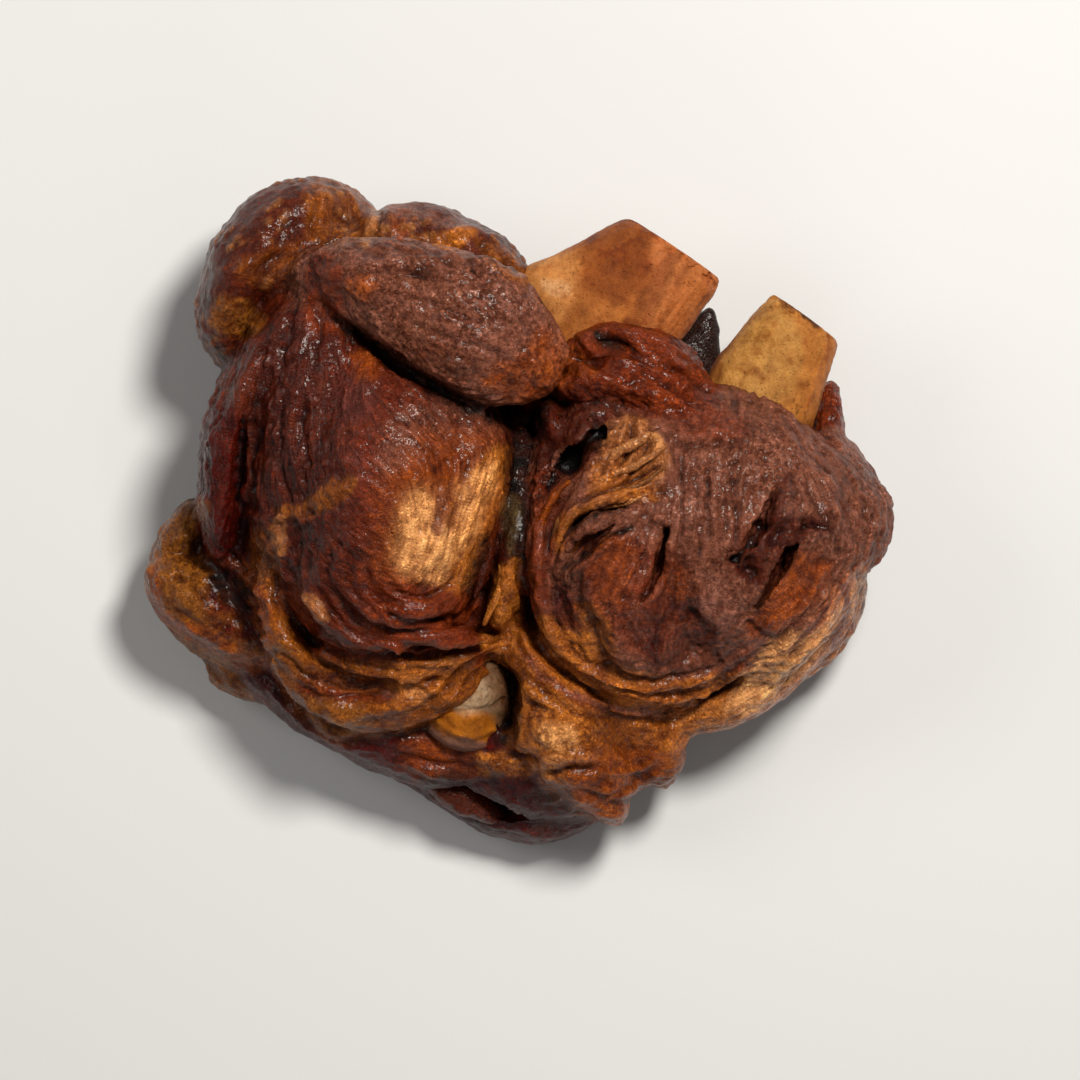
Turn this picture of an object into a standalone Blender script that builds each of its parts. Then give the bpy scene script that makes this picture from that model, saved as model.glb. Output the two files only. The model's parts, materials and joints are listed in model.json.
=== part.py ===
"""A braised pork leg, opened along the bone and laid skin side down.

The meat is one solid: two large muscles with a valley between them, a flap of muscle across the
top, a roll of rind at the upper left, a fat band at the lower right and the skin underneath.
Two sawn bones stick out at the upper right, and the joint end of a bone shows in a gap below.
+X is right and +Y is up as seen from above, +Z is towards the viewer, and the skin rests on z = 0.
"""

import math

import bmesh
import bpy
import numpy as np
from mathutils import Matrix, Vector

# Driving size: the leg across both muscles, along X, in metres
LENGTH = 0.188
# The same length in the tables' unit, so that at this LENGTH one unit is a millimetre
TABLE_LENGTH = 188.0
MM = LENGTH / TABLE_LENGTH

# Sizes in millimetres, and counts
VOXEL = 1.3             # grain of the union of all the lobes
MEAT_TRIANGLES = 7000   # kept in the finished meat
BONE_GAP = 0.45         # clearance between a bone and the meat round it
BONE_GRAIN = (22, 16)   # segments round a bone and along it
LOBE_GRAIN = (40, 28)   # segments round a lobe and along it
GROOVE_GRAIN = (14, 18)
MARROW_DEPTH = 2.2      # hollow in a sawn bone's end
MARROW_SHARE = 0.62     # its width, as a share of the bone's
FLOOR_SIZE = 260.0      # block that trims the underside flat

# Each lobe is a path of stations (x, y, z, half width, half height), in millimetres.
SKIN_UNDER = [
    [(-50, 76, 20, 15, 12), (-50, 62, 20, 26, 18), (-46, 40, 20, 30, 21), (-43, 12, 20, 34, 21),
     (-42, -14, 20, 36, 21), (-40, -36, 19, 28, 19), (-34, -56, 17, 14, 14)],
    [(-40, -4, 20, 30, 20), (-16, -8, 20, 44, 21), (16, -8, 20, 42, 21), (46, -8, 20, 38, 21),
     (70, -6, 20, 32, 19), (88, -8, 20, 18, 15)],
    [(-30, -40, 18, 20, 16), (-8, -48, 18, 24, 18), (12, -52, 18, 26, 18), (32, -46, 18, 20, 17),
     (48, -40, 18, 14, 14)],
    [(-82, -4, 16, 5, 12), (-74, -16, 15, 12, 14), (-64, -30, 15, 12, 14), (-54, -42, 15, 10, 13)],
    [(-52, 66, 20, 10, 14), (-32, 58, 21, 15, 17), (-10, 49, 22, 17, 18), (10, 36, 24, 18, 18),
     (24, 22, 26, 16, 16)],
]
LEFT_MUSCLE = [
    [(-50, 58, 36, 14, 17), (-49, 42, 38, 19, 25), (-46, 18, 36, 22, 28), (-43, -6, 35, 24, 27),
     (-41, -30, 30, 22, 24)],
    [(-40, 46, 40, 14, 22), (-32, 24, 42, 25, 31), (-31, 2, 41, 27, 32.5), (-32, -18, 37, 25, 28),
     (-30, -36, 31, 20, 20)],
    [(-24, 33, 42, 10, 20), (-12, 20, 42, 10.5, 24), (-12, 4, 41, 10, 24), (-16, -14, 37, 9, 21),
     (-19, -24, 35, 8, 18)],
    [(-56, 51, 38, 4, 15), (-62, 40, 38, 6, 20), (-69, 24, 34, 8, 22), (-73, 4, 31, 6.5, 19),
     (-74, -11, 26, 5, 14)],
]
FLAP = [
    [(-49, 61, 53, 7, 9), (-37, 58, 59, 12, 11), (-20, 50, 62, 16, 12), (-4, 42, 61.5, 17.5, 12),
     (11.5, 34.5, 58, 12, 9)],
    [(-50, 66, 44, 6, 14), (-47, 48, 44, 9, 16)],
]
RIND_ROLL = [
    [(-71, 36, 26, 6, 14), (-72, 50, 29, 9, 18), (-66, 64, 31, 10.5, 19), (-57, 73, 30, 10.5, 17),
     (-46, 76, 28, 9, 15), (-34, 72, 27, 7, 13)],
    [(-40, 69, 33, 9, 15), (-24, 69, 37, 8.5, 15), (-9, 65, 38, 7.5, 13), (4, 58, 36, 4, 10)],
    [(-64, 56, 34, 8, 15), (-54, 64, 36, 9, 13), (-38, 68, 38, 7, 12)],
]
LEFT_KNOB = [
    [(-92, -13, 21, 5, 8), (-83, -19, 23, 9, 12), (-73, -27, 20, 8, 12), (-60, -36, 18, 8, 12)],
    [(-79, 3, 20, 4, 11), (-84, -6, 19, 6, 11), (-90, -18, 16, 4, 8), (-83, -28, 13, 4.5, 8),
     (-70, -36, 13, 6, 9), (-56, -45, 14, 7, 10)],
    [(-77, -38, 9, 5, 7), (-62, -45, 11, 5, 8)],
]
FAT_SHELF = [
    [(-60, -4, 42, 4, 12), (-60, -22, 37, 5, 12), (-54, -36, 33, 7, 12), (-43, -45, 32, 8, 11),
     (-30, -45, 33, 8, 11), (-17, -41, 36, 8, 10), (-4, -32, 38, 5, 8)],
    [(-29, -51, 28, 4, 9), (-20, -47, 33, 5, 9), (-12, -41, 36, 4.5, 8), (-5, -34, 36, 3, 7)],
]
SWIRL_FOLDS = [
    [(-51, -10, 57, 3, 5), (-47, -25, 55, 3.2, 5), (-36, -31, 54, 3.4, 5), (-22, -30, 56, 3.2, 5),
     (-6, -31, 50, 3, 5)],
    [(-42, -15, 62, 3, 4), (-36, -23, 62, 3, 4), (-24, -24, 62, 3, 4), (-13, -20, 58, 3, 4)],
    [(-49, -33, 45, 3, 5), (-34, -38, 45, 3.4, 5), (-20, -37, 46, 3.4, 5), (-3, -33, 43, 2.6, 4)],
]
BOTTOM_RIND = [
    [(-68, -37, 15, 8, 12), (-50, -46, 16, 11, 14), (-32, -54, 17, 12, 14), (-14, -59, 18, 12, 14),
     (0, -60, 18, 9, 13)],
    [(-34, -61, 9, 5, 8), (-14, -70, 9, 7, 9), (4, -76, 10, 8, 9), (24, -74, 11, 6, 9)],
]
BOTTOM_FAT = [
    [(-1, -26, 34, 9, 14), (8, -44, 33, 13, 16), (14, -56, 29, 14, 15), (21, -66, 22, 11, 15),
     (25, -77, 14, 5, 10)],
    [(20, -44, 28, 10, 15), (34, -56, 23, 9, 12), (38, -68, 14, 4, 8)],
]
RIGHT_MUSCLE = [
    [(4, 2, 38, 22, 20), (24, 2, 42, 30, 24), (44, 0, 43, 33, 25), (64, -4, 42, 32, 25),
     (81, -4, 37, 21, 20), (91, -8, 30, 8, 12)],
    [(22, 32, 40, 12, 17), (23, 12, 43, 17, 24), (25, -8, 43, 20, 26), (31, -26, 38, 20, 24),
     (36, -40, 33, 14, 17)],
    [(58, 19, 40, 14, 17), (60, 6, 43, 22, 24), (62, -9, 42, 25, 25), (57, -25, 37, 23, 21),
     (50, -38, 30, 15, 14)],
    [(78, 21, 33, 6, 14), (82, 3, 34, 10, 18), (84, -10, 31, 8, 15)],
    [(7, 18, 42, 3, 18), (6, -6, 42, 3.5, 20), (9, -23, 40, 4, 17), (18, -38, 37, 4, 13),
     (34, -45, 35, 5, 12), (56, -38, 33, 5, 11)],
    [(10, -10, 42, 6, 20), (14, -26, 40, 6, 17), (26, -36, 38, 7, 15), (44, -37, 36, 8, 15),
     (60, -29, 36, 7, 14)],
]
SKIN_FLAPS = [
    [(12, 36, 45, 4, 8), (22, 43, 48, 4.5, 9), (34, 40, 48, 6, 10), (43, 35, 45, 5, 9),
     (48, 27, 42, 3, 8)],
    [(11, 31, 50, 4, 8), (24, 33, 52, 5, 8), (36, 30, 51, 6, 9), (48, 24, 48, 5, 8)],
    [(80, 31, 28, 2, 6), (79, 23, 30, 4, 9), (77, 12, 30, 6, 11)],
]
FAT_BAND = [
    [(36, -55, 22, 6, 12), (50, -47, 25, 8.5, 13), (62, -40, 27, 8.5, 13), (74, -29, 27, 8, 13),
     (82, -19, 26, 6, 11), (88, -10, 25, 4, 8)],
    [(66, -43, 14, 4, 9), (78, -33, 15, 5, 10), (84, -23, 17, 4, 9), (88, -15, 19, 3, 8)],
]
VALLEY_STRANDS = [
    [(-4, -28, 38, 5, 12), (-1, -14, 42, 4, 12), (1, 2, 42, 3.4, 10), (2, 22, 38, 3, 8)],
    [(8, 28, 44, 4, 10), (12, 14, 46, 4, 10)],
]
MEAT_LOBES = (SKIN_UNDER + LEFT_MUSCLE + FLAP + RIND_ROLL + LEFT_KNOB + FAT_SHELF + SWIRL_FOLDS
              + BOTTOM_RIND + BOTTOM_FAT + RIGHT_MUSCLE + SKIN_FLAPS + FAT_BAND + VALLEY_STRANDS)

# Grooves that part the lobes: path stations (x, y, z, half width, half depth)
GROOVES = [
    [(-44, 50, 62, 1.6, 8), (-34, 41, 62, 2.4, 10), (-24, 34, 64, 2.6, 10), (-12, 27.5, 66, 2.0, 8),
     (4, 21, 66, 1.4, 6)],
    [(-67, 24, 58, 1.4, 10), (-68.5, 8, 54, 2.0, 12), (-67.5, -6, 50, 2.4, 12),
     (-71, -19, 42, 4.5, 14), (-64, -27, 34, 3, 8)],
    [(37.5, -1, 68, 0.5, 5), (37.4, -7, 67, 1.7, 12), (35.5, -14, 66, 1.8, 13), (30.5, -24, 63, 0.5, 5)],
    [(67, 10, 66, 0.5, 4), (64, 3, 67, 1.6, 7), (60, -5, 67, 1.9, 7), (54, -12, 66, 0.8, 5)],
    [(71, -6, 64, 0.6, 4), (67, -11, 64, 1.8, 8), (63, -18, 62, 1.8, 9), (59, -25, 60, 0.5, 5)],
    [(23, 23, 64, 0.8, 6), (18, 17, 64, 2.4, 11), (12, 11, 63, 3.2, 13), (7, 4, 60, 1.0, 8)],
    [(32, 3, 68, 0.5, 4), (22, 1, 68, 1.5, 7), (14, -5, 66, 1.6, 8), (8, -17, 60, 0.8, 7)],
    [(27, -2, 70, 0.5, 4), (19, -6, 69, 1.6, 7), (14, -11, 66, 1.6, 7), (12, -16, 63, 0.6, 6)],
    [(-7, -36, 44, 3.4, 14), (-1, -44, 44, 3, 14), (-3, -57, 38, 2.4, 10)],
    [(-24, -66, 17, 2, 3), (-12, -69, 18, 5, 6), (0, -72, 18, 6, 7), (10, -75, 18, 2, 4)],
]

# Sawn bones, from the sawn end inwards, and the joint end seen in the gap below
BONES = {
    "bone_wide": [(40.2, 66.4, 39, 15.4, 11.5), (33, 60, 39, 17.1, 11.5), (25.8, 54, 39, 19.2, 11.5),
                  (18.6, 48.2, 39, 20.8, 11), (13, 39, 38, 17, 10), (10, 29, 37, 10, 8)],
    "bone_narrow": [(72.9, 49.2, 38, 11.4, 10.5), (67, 38.2, 38, 13, 11), (61.4, 27.7, 38, 14.9, 11.5),
                    (56, 16.5, 37, 13, 10), (51, 5, 36, 8, 7)],
    "joint_bone": [(-5, -36, 34, 5, 6), (-9, -44, 33, 8.5, 9), (-12.5, -51, 29, 10, 10),
                   (-14, -57.5, 25, 9.5, 8)],
}
# The way each saw cut runs across its bone, seen from above; the far end runs square to its path
SAW_CUTS = {"bone_wide": (-0.83, 0.56, 0.0), "bone_narrow": (-0.81, 0.59, 0.0)}
SAWN_BLUNTNESS = 0.07
ROUND_BLUNTNESS = 0.5

MEAT_COLOUR = (0.13, 0.034, 0.012, 1.0)
BONE_COLOUR = (0.52, 0.29, 0.10, 1.0)
CARTILAGE_COLOUR = (0.62, 0.36, 0.09, 1.0)


def clear_scene():
    for old in list(bpy.data.objects):
        bpy.data.objects.remove(old)


def material(name, colour, roughness):
    made = bpy.data.materials.new(name)
    made.use_nodes = True
    shader = made.node_tree.nodes["Principled BSDF"]
    shader.inputs["Base Color"].default_value = colour
    shader.inputs["Roughness"].default_value = roughness
    shader.inputs["Metallic"].default_value = 0.0
    return made


def smooth_path(stations, share):
    """The stations' numbers at each share, 0 to 1, of the path, on a Catmull-Rom curve."""
    points = np.array(stations, float)
    ends = [2 * points[0] - points[1]], [2 * points[-1] - points[-2]]
    points = np.concatenate([ends[0], points, ends[1]])
    spans = len(stations) - 1
    place = np.clip(share, 0.0, 1.0) * spans
    first = np.minimum(place.astype(int), spans - 1)
    t = (place - first)[:, None]
    a, b, c, d = (points[first + k] for k in range(4))
    return 0.5 * (2 * b + (c - a) * t + (2 * a - 5 * b + 4 * c - d) * t**2
                  + (3 * b - a - 3 * c + d) * t**3)


def lobe(stations, grain, bluntness=ROUND_BLUNTNESS, across=None, swell=0.0, hollow=0.0):
    """A sphere primitive drawn out along the path: a closed, round-ended form of oval section.

    across is the way its width runs, if not square to the path. swell is added to its skin all
    round, and hollow sinks the middle of its first end."""
    bm = bmesh.new()
    bmesh.ops.create_uvsphere(bm, u_segments=grain[0], v_segments=grain[1], radius=1.0)
    ball = np.array([v.co for v in bm.verts])
    share = (1.0 - ball[:, 2]) / 2.0
    around = np.arctan2(ball[:, 1], ball[:, 0])
    girth = np.clip(np.hypot(ball[:, 0], ball[:, 1]), 0.0, 1.0) ** bluntness
    centre = smooth_path(stations, share)
    step = 0.01
    ahead = smooth_path(stations, share + step)[:, :3] - smooth_path(stations, share - step)[:, :3]
    ahead /= np.linalg.norm(ahead, axis=1)[:, None]
    side = np.cross(ahead, (0.0, 0.0, 1.0))
    if across is not None:
        side = np.tile(across, (len(ball), 1))
        ahead = np.cross((0.0, 0.0, 1.0), side)
    side /= np.linalg.norm(side, axis=1)[:, None]
    up = np.cross(side, ahead)
    width = (np.maximum(centre[:, 3], 0.5) + swell) * girth * np.cos(around)
    height = (np.maximum(centre[:, 4], 0.5) + swell) * girth * np.sin(around)
    points = centre[:, :3] + side * width[:, None] + up * height[:, None]
    points += ahead * (swell * -ball[:, 2])[:, None]
    if hollow:
        sunk = np.clip(1.0 - (girth / MARROW_SHARE) ** 6, 0.0, 1.0) * (ball[:, 2] > 0)
        points += ahead * (hollow * sunk)[:, None]
    for vertex, point in zip(bm.verts, points * MM):
        vertex.co = Vector(point)
    return bm


def joined(name, paths, **shape):
    """One object holding a lobe for each path, still overlapping."""
    whole = bmesh.new()
    for stations in paths:
        one = lobe(stations, **shape)
        mesh = bpy.data.meshes.new("lobe")
        one.to_mesh(mesh)
        whole.from_mesh(mesh)
        one.free()
        bpy.data.meshes.remove(mesh)
    mesh = bpy.data.meshes.new(name)
    whole.to_mesh(mesh)
    whole.free()
    return bpy.data.objects.new(name, mesh)


def apply_modifiers(obj):
    """Replaces the object's mesh by what its modifiers make of it."""
    graph = bpy.context.evaluated_depsgraph_get()
    made = bpy.data.meshes.new_from_object(obj.evaluated_get(graph))
    obj.modifiers.clear()
    obj.data = made


def fuse(obj, voxel):
    """Fuses the overlapping lobes of the object into one skin, and rounds the seams a little."""
    remesh = obj.modifiers.new("fuse", "REMESH")
    remesh.mode = "VOXEL"
    remesh.voxel_size = voxel * MM
    smooth = obj.modifiers.new("round", "SMOOTH")
    smooth.factor = 0.5
    smooth.iterations = 3
    apply_modifiers(obj)


def keep_largest(obj):
    """Drops every loose scrap and sealed hollow, and keeps the largest connected skin."""
    bm = bmesh.new()
    bm.from_mesh(obj.data)
    left = set(bm.verts)
    groups = []
    while left:
        front = [left.pop()]
        group = list(front)
        while front:
            nearby = [e.other_vert(v) for v in front for e in v.link_edges]
            front = [v for v in set(nearby) if v in left]
            left.difference_update(front)
            group += front
        groups.append(group)
    groups.sort(key=len)
    for group in groups[:-1]:
        bmesh.ops.delete(bm, geom=group, context="VERTS")
    bm.to_mesh(obj.data)
    bm.free()


def thin_out(obj, triangles):
    """Collapses the smallest edges until about this many triangles are left."""
    obj.data.calc_loop_triangles()
    decimate = obj.modifiers.new("thin", "DECIMATE")
    decimate.ratio = triangles / len(obj.data.loop_triangles)
    apply_modifiers(obj)


def hide(obj):
    obj.hide_render = True
    obj.display_type = "WIRE"


def cut(obj, cutters, name):
    boolean = obj.modifiers.new(name, "BOOLEAN")
    boolean.operation = "DIFFERENCE"
    boolean.operand_type = "COLLECTION"
    boolean.collection = cutters
    boolean.solver = "EXACT"


def centre(objects):
    """Moves the meshes together so that the box round them all is centred on Z."""
    points = np.array([v.co for obj in objects for v in obj.data.vertices])
    middle = (points.min(axis=0) + points.max(axis=0)) / 2
    for obj in objects:
        obj.data.transform(Matrix.Translation((-middle[0], -middle[1], 0.0)))


def floor_block():
    """A block whose top is the surface that the skin rests on."""
    bpy.ops.mesh.primitive_cube_add(size=1.0)
    block = bpy.context.object
    block.name = "floor_block"
    size = FLOOR_SIZE * MM
    block.scale = (size, size, size / 4)
    block.location = (0.0, 0.0, -size / 8)
    for collection in block.users_collection:
        collection.objects.unlink(block)
    return block


def main():
    clear_scene()
    leg = bpy.data.collections.new("pork_leg")
    cutters = bpy.data.collections.new("cutters")
    grooves = bpy.data.collections.new("grooves")
    for collection in (leg, cutters, grooves):
        bpy.context.scene.collection.children.link(collection)

    meat = joined("meat", MEAT_LOBES, grain=LOBE_GRAIN)
    leg.objects.link(meat)
    fuse(meat, VOXEL)
    keep_largest(meat)
    for index, stations in enumerate(GROOVES):
        groove = joined(f"groove_{index}", [stations], grain=GROOVE_GRAIN)
        grooves.objects.link(groove)
        hide(groove)
    cut(meat, grooves, "grooves")
    apply_modifiers(meat)
    keep_largest(meat)
    fuse(meat, VOXEL)
    keep_largest(meat)
    thin_out(meat, MEAT_TRIANGLES)
    meat.data.materials.append(material("braised_meat", MEAT_COLOUR, 0.42))
    meat.data.shade_smooth()

    bone_material = material("bone", BONE_COLOUR, 0.5)
    for name, stations in BONES.items():
        sawn = name in SAW_CUTS
        form = {"grain": BONE_GRAIN, "across": SAW_CUTS.get(name),
                "bluntness": SAWN_BLUNTNESS if sawn else ROUND_BLUNTNESS}
        bone = joined(name, [stations], hollow=MARROW_DEPTH if sawn else 0.0, **form)
        leg.objects.link(bone)
        bone.data.materials.append(bone_material if sawn
                                   else material("cartilage", CARTILAGE_COLOUR, 0.3))
        bone.data.shade_smooth()
        bone.data.set_sharp_from_angle(angle=math.radians(50))
        socket = joined(f"socket_{name}", [stations], swell=BONE_GAP, **form)
        cutters.objects.link(socket)
        hide(socket)
    centre(list(leg.objects) + list(cutters.objects))
    block = floor_block()
    cutters.objects.link(block)
    hide(block)
    cut(meat, cutters, "sockets")


main()
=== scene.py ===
"""Looks for the braised pork leg: the meat, fat and rind at full detail, the bones, light and camera.

The form repeats the part's own lobes, at a finer grain. Relief and colours are worked out on its
points, in millimetres, from noise and from a few named folds, strips and patches of tissue. The colours
also hold painted shade in hollows, crevices, dents and slits, and a few painted highlights."""

import json
import math

import bmesh
import bpy
import numpy as np
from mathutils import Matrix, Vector
from mathutils.kdtree import KDTree

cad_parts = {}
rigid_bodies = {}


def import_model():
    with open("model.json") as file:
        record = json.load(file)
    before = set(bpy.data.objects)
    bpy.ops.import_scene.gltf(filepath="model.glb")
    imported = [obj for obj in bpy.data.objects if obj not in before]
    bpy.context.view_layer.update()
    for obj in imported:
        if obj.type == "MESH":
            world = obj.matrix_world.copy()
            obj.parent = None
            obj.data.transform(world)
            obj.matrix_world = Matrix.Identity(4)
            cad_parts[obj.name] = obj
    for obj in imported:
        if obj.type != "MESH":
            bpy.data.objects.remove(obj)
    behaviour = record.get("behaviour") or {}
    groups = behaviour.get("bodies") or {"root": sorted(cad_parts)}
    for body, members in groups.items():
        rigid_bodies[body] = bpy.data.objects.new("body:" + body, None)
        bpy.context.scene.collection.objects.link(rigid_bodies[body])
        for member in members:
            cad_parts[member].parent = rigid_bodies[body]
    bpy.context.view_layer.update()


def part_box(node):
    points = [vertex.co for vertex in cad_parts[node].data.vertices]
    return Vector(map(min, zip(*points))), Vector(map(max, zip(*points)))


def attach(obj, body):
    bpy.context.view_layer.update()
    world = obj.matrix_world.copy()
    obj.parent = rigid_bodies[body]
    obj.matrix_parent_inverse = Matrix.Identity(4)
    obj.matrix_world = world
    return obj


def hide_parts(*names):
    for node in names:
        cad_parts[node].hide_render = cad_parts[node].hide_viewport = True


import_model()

MM = 0.001
COARSE_VOXEL = 1.3      # the union of the lobes, as in the CAD
FINE_VOXEL = 0.64       # the finished skin
LOBE_GRAIN = (40, 28)
GROOVE_GRAIN = (14, 18)
CAD_BONE_GRAIN = (22, 16)
ROUND_BLUNTNESS = 0.5
SAWN_BLUNTNESS = 0.07
LEAST_HALF = 0.5        # no lobe's half width or height is less
SEED = 11

# Each lobe is a path of stations (x, y, z, half width, half height), in millimetres.
SKIN_UNDER = [
    [(-50, 76, 20, 15, 12), (-50, 62, 20, 26, 18), (-46, 40, 20, 30, 21), (-43, 12, 20, 34, 21),
     (-42, -14, 20, 36, 21), (-40, -36, 19, 28, 19), (-34, -56, 17, 14, 14)],
    [(-40, -4, 20, 30, 20), (-16, -8, 20, 44, 21), (16, -8, 20, 42, 21), (46, -8, 20, 38, 21),
     (70, -6, 20, 32, 19), (88, -8, 20, 18, 15)],
    [(-30, -40, 18, 20, 16), (-8, -48, 18, 24, 18), (12, -52, 18, 26, 18), (32, -46, 18, 20, 17),
     (48, -40, 18, 14, 14)],
    [(-82, -4, 16, 5, 12), (-74, -16, 15, 12, 14), (-64, -30, 15, 12, 14), (-54, -42, 15, 10, 13)],
    [(-52, 66, 20, 10, 14), (-32, 58, 21, 15, 17), (-10, 49, 22, 17, 18), (10, 36, 24, 18, 18),
     (24, 22, 26, 16, 16)],
]
LEFT_MUSCLE = [
    [(-50, 58, 36, 14, 17), (-49, 42, 38, 19, 25), (-46, 18, 36, 22, 28), (-43, -6, 35, 24, 27),
     (-41, -30, 30, 22, 24)],
    [(-40, 46, 40, 14, 22), (-32, 24, 42, 25, 31), (-31, 2, 41, 27, 32.5), (-32, -18, 37, 25, 28),
     (-30, -36, 31, 20, 20)],
    [(-24, 33, 42, 10, 20), (-12, 20, 42, 10.5, 24), (-12, 4, 41, 10, 24), (-16, -14, 37, 9, 21),
     (-19, -24, 35, 8, 18)],
    [(-56, 51, 38, 4, 15), (-62, 40, 38, 6, 20), (-69, 24, 34, 8, 22), (-73, 4, 31, 6.5, 19),
     (-74, -11, 26, 5, 14)],
]
FLAP = [
    [(-49, 61, 53, 7, 9), (-37, 58, 59, 12, 11), (-20, 50, 62, 16, 12), (-4, 42, 61.5, 17.5, 12),
     (11.5, 34.5, 58, 12, 9)],
    [(-50, 66, 44, 6, 14), (-47, 48, 44, 9, 16)],
]
RIND_ROLL = [
    [(-71, 36, 26, 6, 14), (-72, 50, 29, 9, 18), (-66, 64, 31, 10.5, 19), (-57, 73, 30, 10.5, 17),
     (-46, 76, 28, 9, 15), (-34, 72, 27, 7, 13)],
    [(-40, 69, 33, 9, 15), (-24, 69, 37, 8.5, 15), (-9, 65, 38, 7.5, 13), (4, 58, 36, 4, 10)],
    [(-64, 56, 34, 8, 15), (-54, 64, 36, 9, 13), (-38, 68, 38, 7, 12)],
]
LEFT_KNOB = [
    [(-92, -13, 21, 5, 8), (-83, -19, 23, 9, 12), (-73, -27, 20, 8, 12), (-60, -36, 18, 8, 12)],
    [(-79, 3, 20, 4, 11), (-84, -6, 19, 6, 11), (-90, -18, 16, 4, 8), (-83, -28, 13, 4.5, 8),
     (-70, -36, 13, 6, 9), (-56, -45, 14, 7, 10)],
    [(-77, -38, 9, 5, 7), (-62, -45, 11, 5, 8)],
]
FAT_SHELF = [
    [(-60, -4, 42, 4, 12), (-60, -22, 37, 5, 12), (-54, -36, 33, 7, 12), (-43, -45, 32, 8, 11),
     (-30, -45, 33, 8, 11), (-17, -41, 36, 8, 10), (-4, -32, 38, 5, 8)],
    [(-29, -51, 28, 4, 9), (-20, -47, 33, 5, 9), (-12, -41, 36, 4.5, 8), (-5, -34, 36, 3, 7)],
]
SWIRL_FOLDS = [
    [(-51, -10, 57, 3, 5), (-47, -25, 55, 3.2, 5), (-36, -31, 54, 3.4, 5), (-22, -30, 56, 3.2, 5),
     (-6, -31, 50, 3, 5)],
    [(-42, -15, 62, 3, 4), (-36, -23, 62, 3, 4), (-24, -24, 62, 3, 4), (-13, -20, 58, 3, 4)],
    [(-49, -33, 45, 3, 5), (-34, -38, 45, 3.4, 5), (-20, -37, 46, 3.4, 5), (-3, -33, 43, 2.6, 4)],
]
BOTTOM_RIND = [
    [(-68, -37, 15, 8, 12), (-50, -46, 16, 11, 14), (-32, -54, 17, 12, 14), (-14, -59, 18, 12, 14),
     (0, -60, 18, 9, 13)],
    [(-34, -61, 9, 5, 8), (-14, -70, 9, 7, 9), (4, -76, 10, 8, 9), (24, -74, 11, 6, 9)],
]
BOTTOM_FAT = [
    [(-1, -26, 34, 9, 14), (8, -44, 33, 13, 16), (14, -56, 29, 14, 15), (21, -66, 22, 11, 15),
     (25, -77, 14, 5, 10)],
    [(20, -44, 28, 10, 15), (34, -56, 23, 9, 12), (38, -68, 14, 4, 8)],
]
RIGHT_MUSCLE = [
    [(4, 2, 38, 22, 20), (24, 2, 42, 30, 24), (44, 0, 43, 33, 25), (64, -4, 42, 32, 25),
     (81, -4, 37, 21, 20), (91, -8, 30, 8, 12)],
    [(22, 32, 40, 12, 17), (23, 12, 43, 17, 24), (25, -8, 43, 20, 26), (31, -26, 38, 20, 24),
     (36, -40, 33, 14, 17)],
    [(58, 19, 40, 14, 17), (60, 6, 43, 22, 24), (62, -9, 42, 25, 25), (57, -25, 37, 23, 21),
     (50, -38, 30, 15, 14)],
    [(78, 21, 33, 6, 14), (82, 3, 34, 10, 18), (84, -10, 31, 8, 15)],
    [(7, 18, 42, 3, 18), (6, -6, 42, 3.5, 20), (9, -23, 40, 4, 17), (18, -38, 37, 4, 13),
     (34, -45, 35, 5, 12), (56, -38, 33, 5, 11)],
    [(10, -10, 42, 6, 20), (14, -26, 40, 6, 17), (26, -36, 38, 7, 15), (44, -37, 36, 8, 15),
     (60, -29, 36, 7, 14)],
]
SKIN_FLAPS = [
    [(12, 36, 45, 4, 8), (22, 43, 48, 4.5, 9), (34, 40, 48, 6, 10), (43, 35, 45, 5, 9),
     (48, 27, 42, 3, 8)],
    [(11, 31, 50, 4, 8), (24, 33, 52, 5, 8), (36, 30, 51, 6, 9), (48, 24, 48, 5, 8)],
    [(80, 31, 28, 2, 6), (79, 23, 30, 4, 9), (77, 12, 30, 6, 11)],
]
FAT_BAND = [
    [(36, -55, 22, 6, 12), (50, -47, 25, 8.5, 13), (62, -40, 27, 8.5, 13), (74, -29, 27, 8, 13),
     (82, -19, 26, 6, 11), (88, -10, 25, 4, 8)],
    [(66, -43, 14, 4, 9), (78, -33, 15, 5, 10), (84, -23, 17, 4, 9), (88, -15, 19, 3, 8)],
]
VALLEY_STRANDS = [
    [(-4, -28, 38, 5, 12), (-1, -14, 42, 4, 12), (1, 2, 42, 3.4, 10), (2, 22, 38, 3, 8)],
    [(8, 28, 44, 4, 10), (12, 14, 46, 4, 10)],
]

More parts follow.
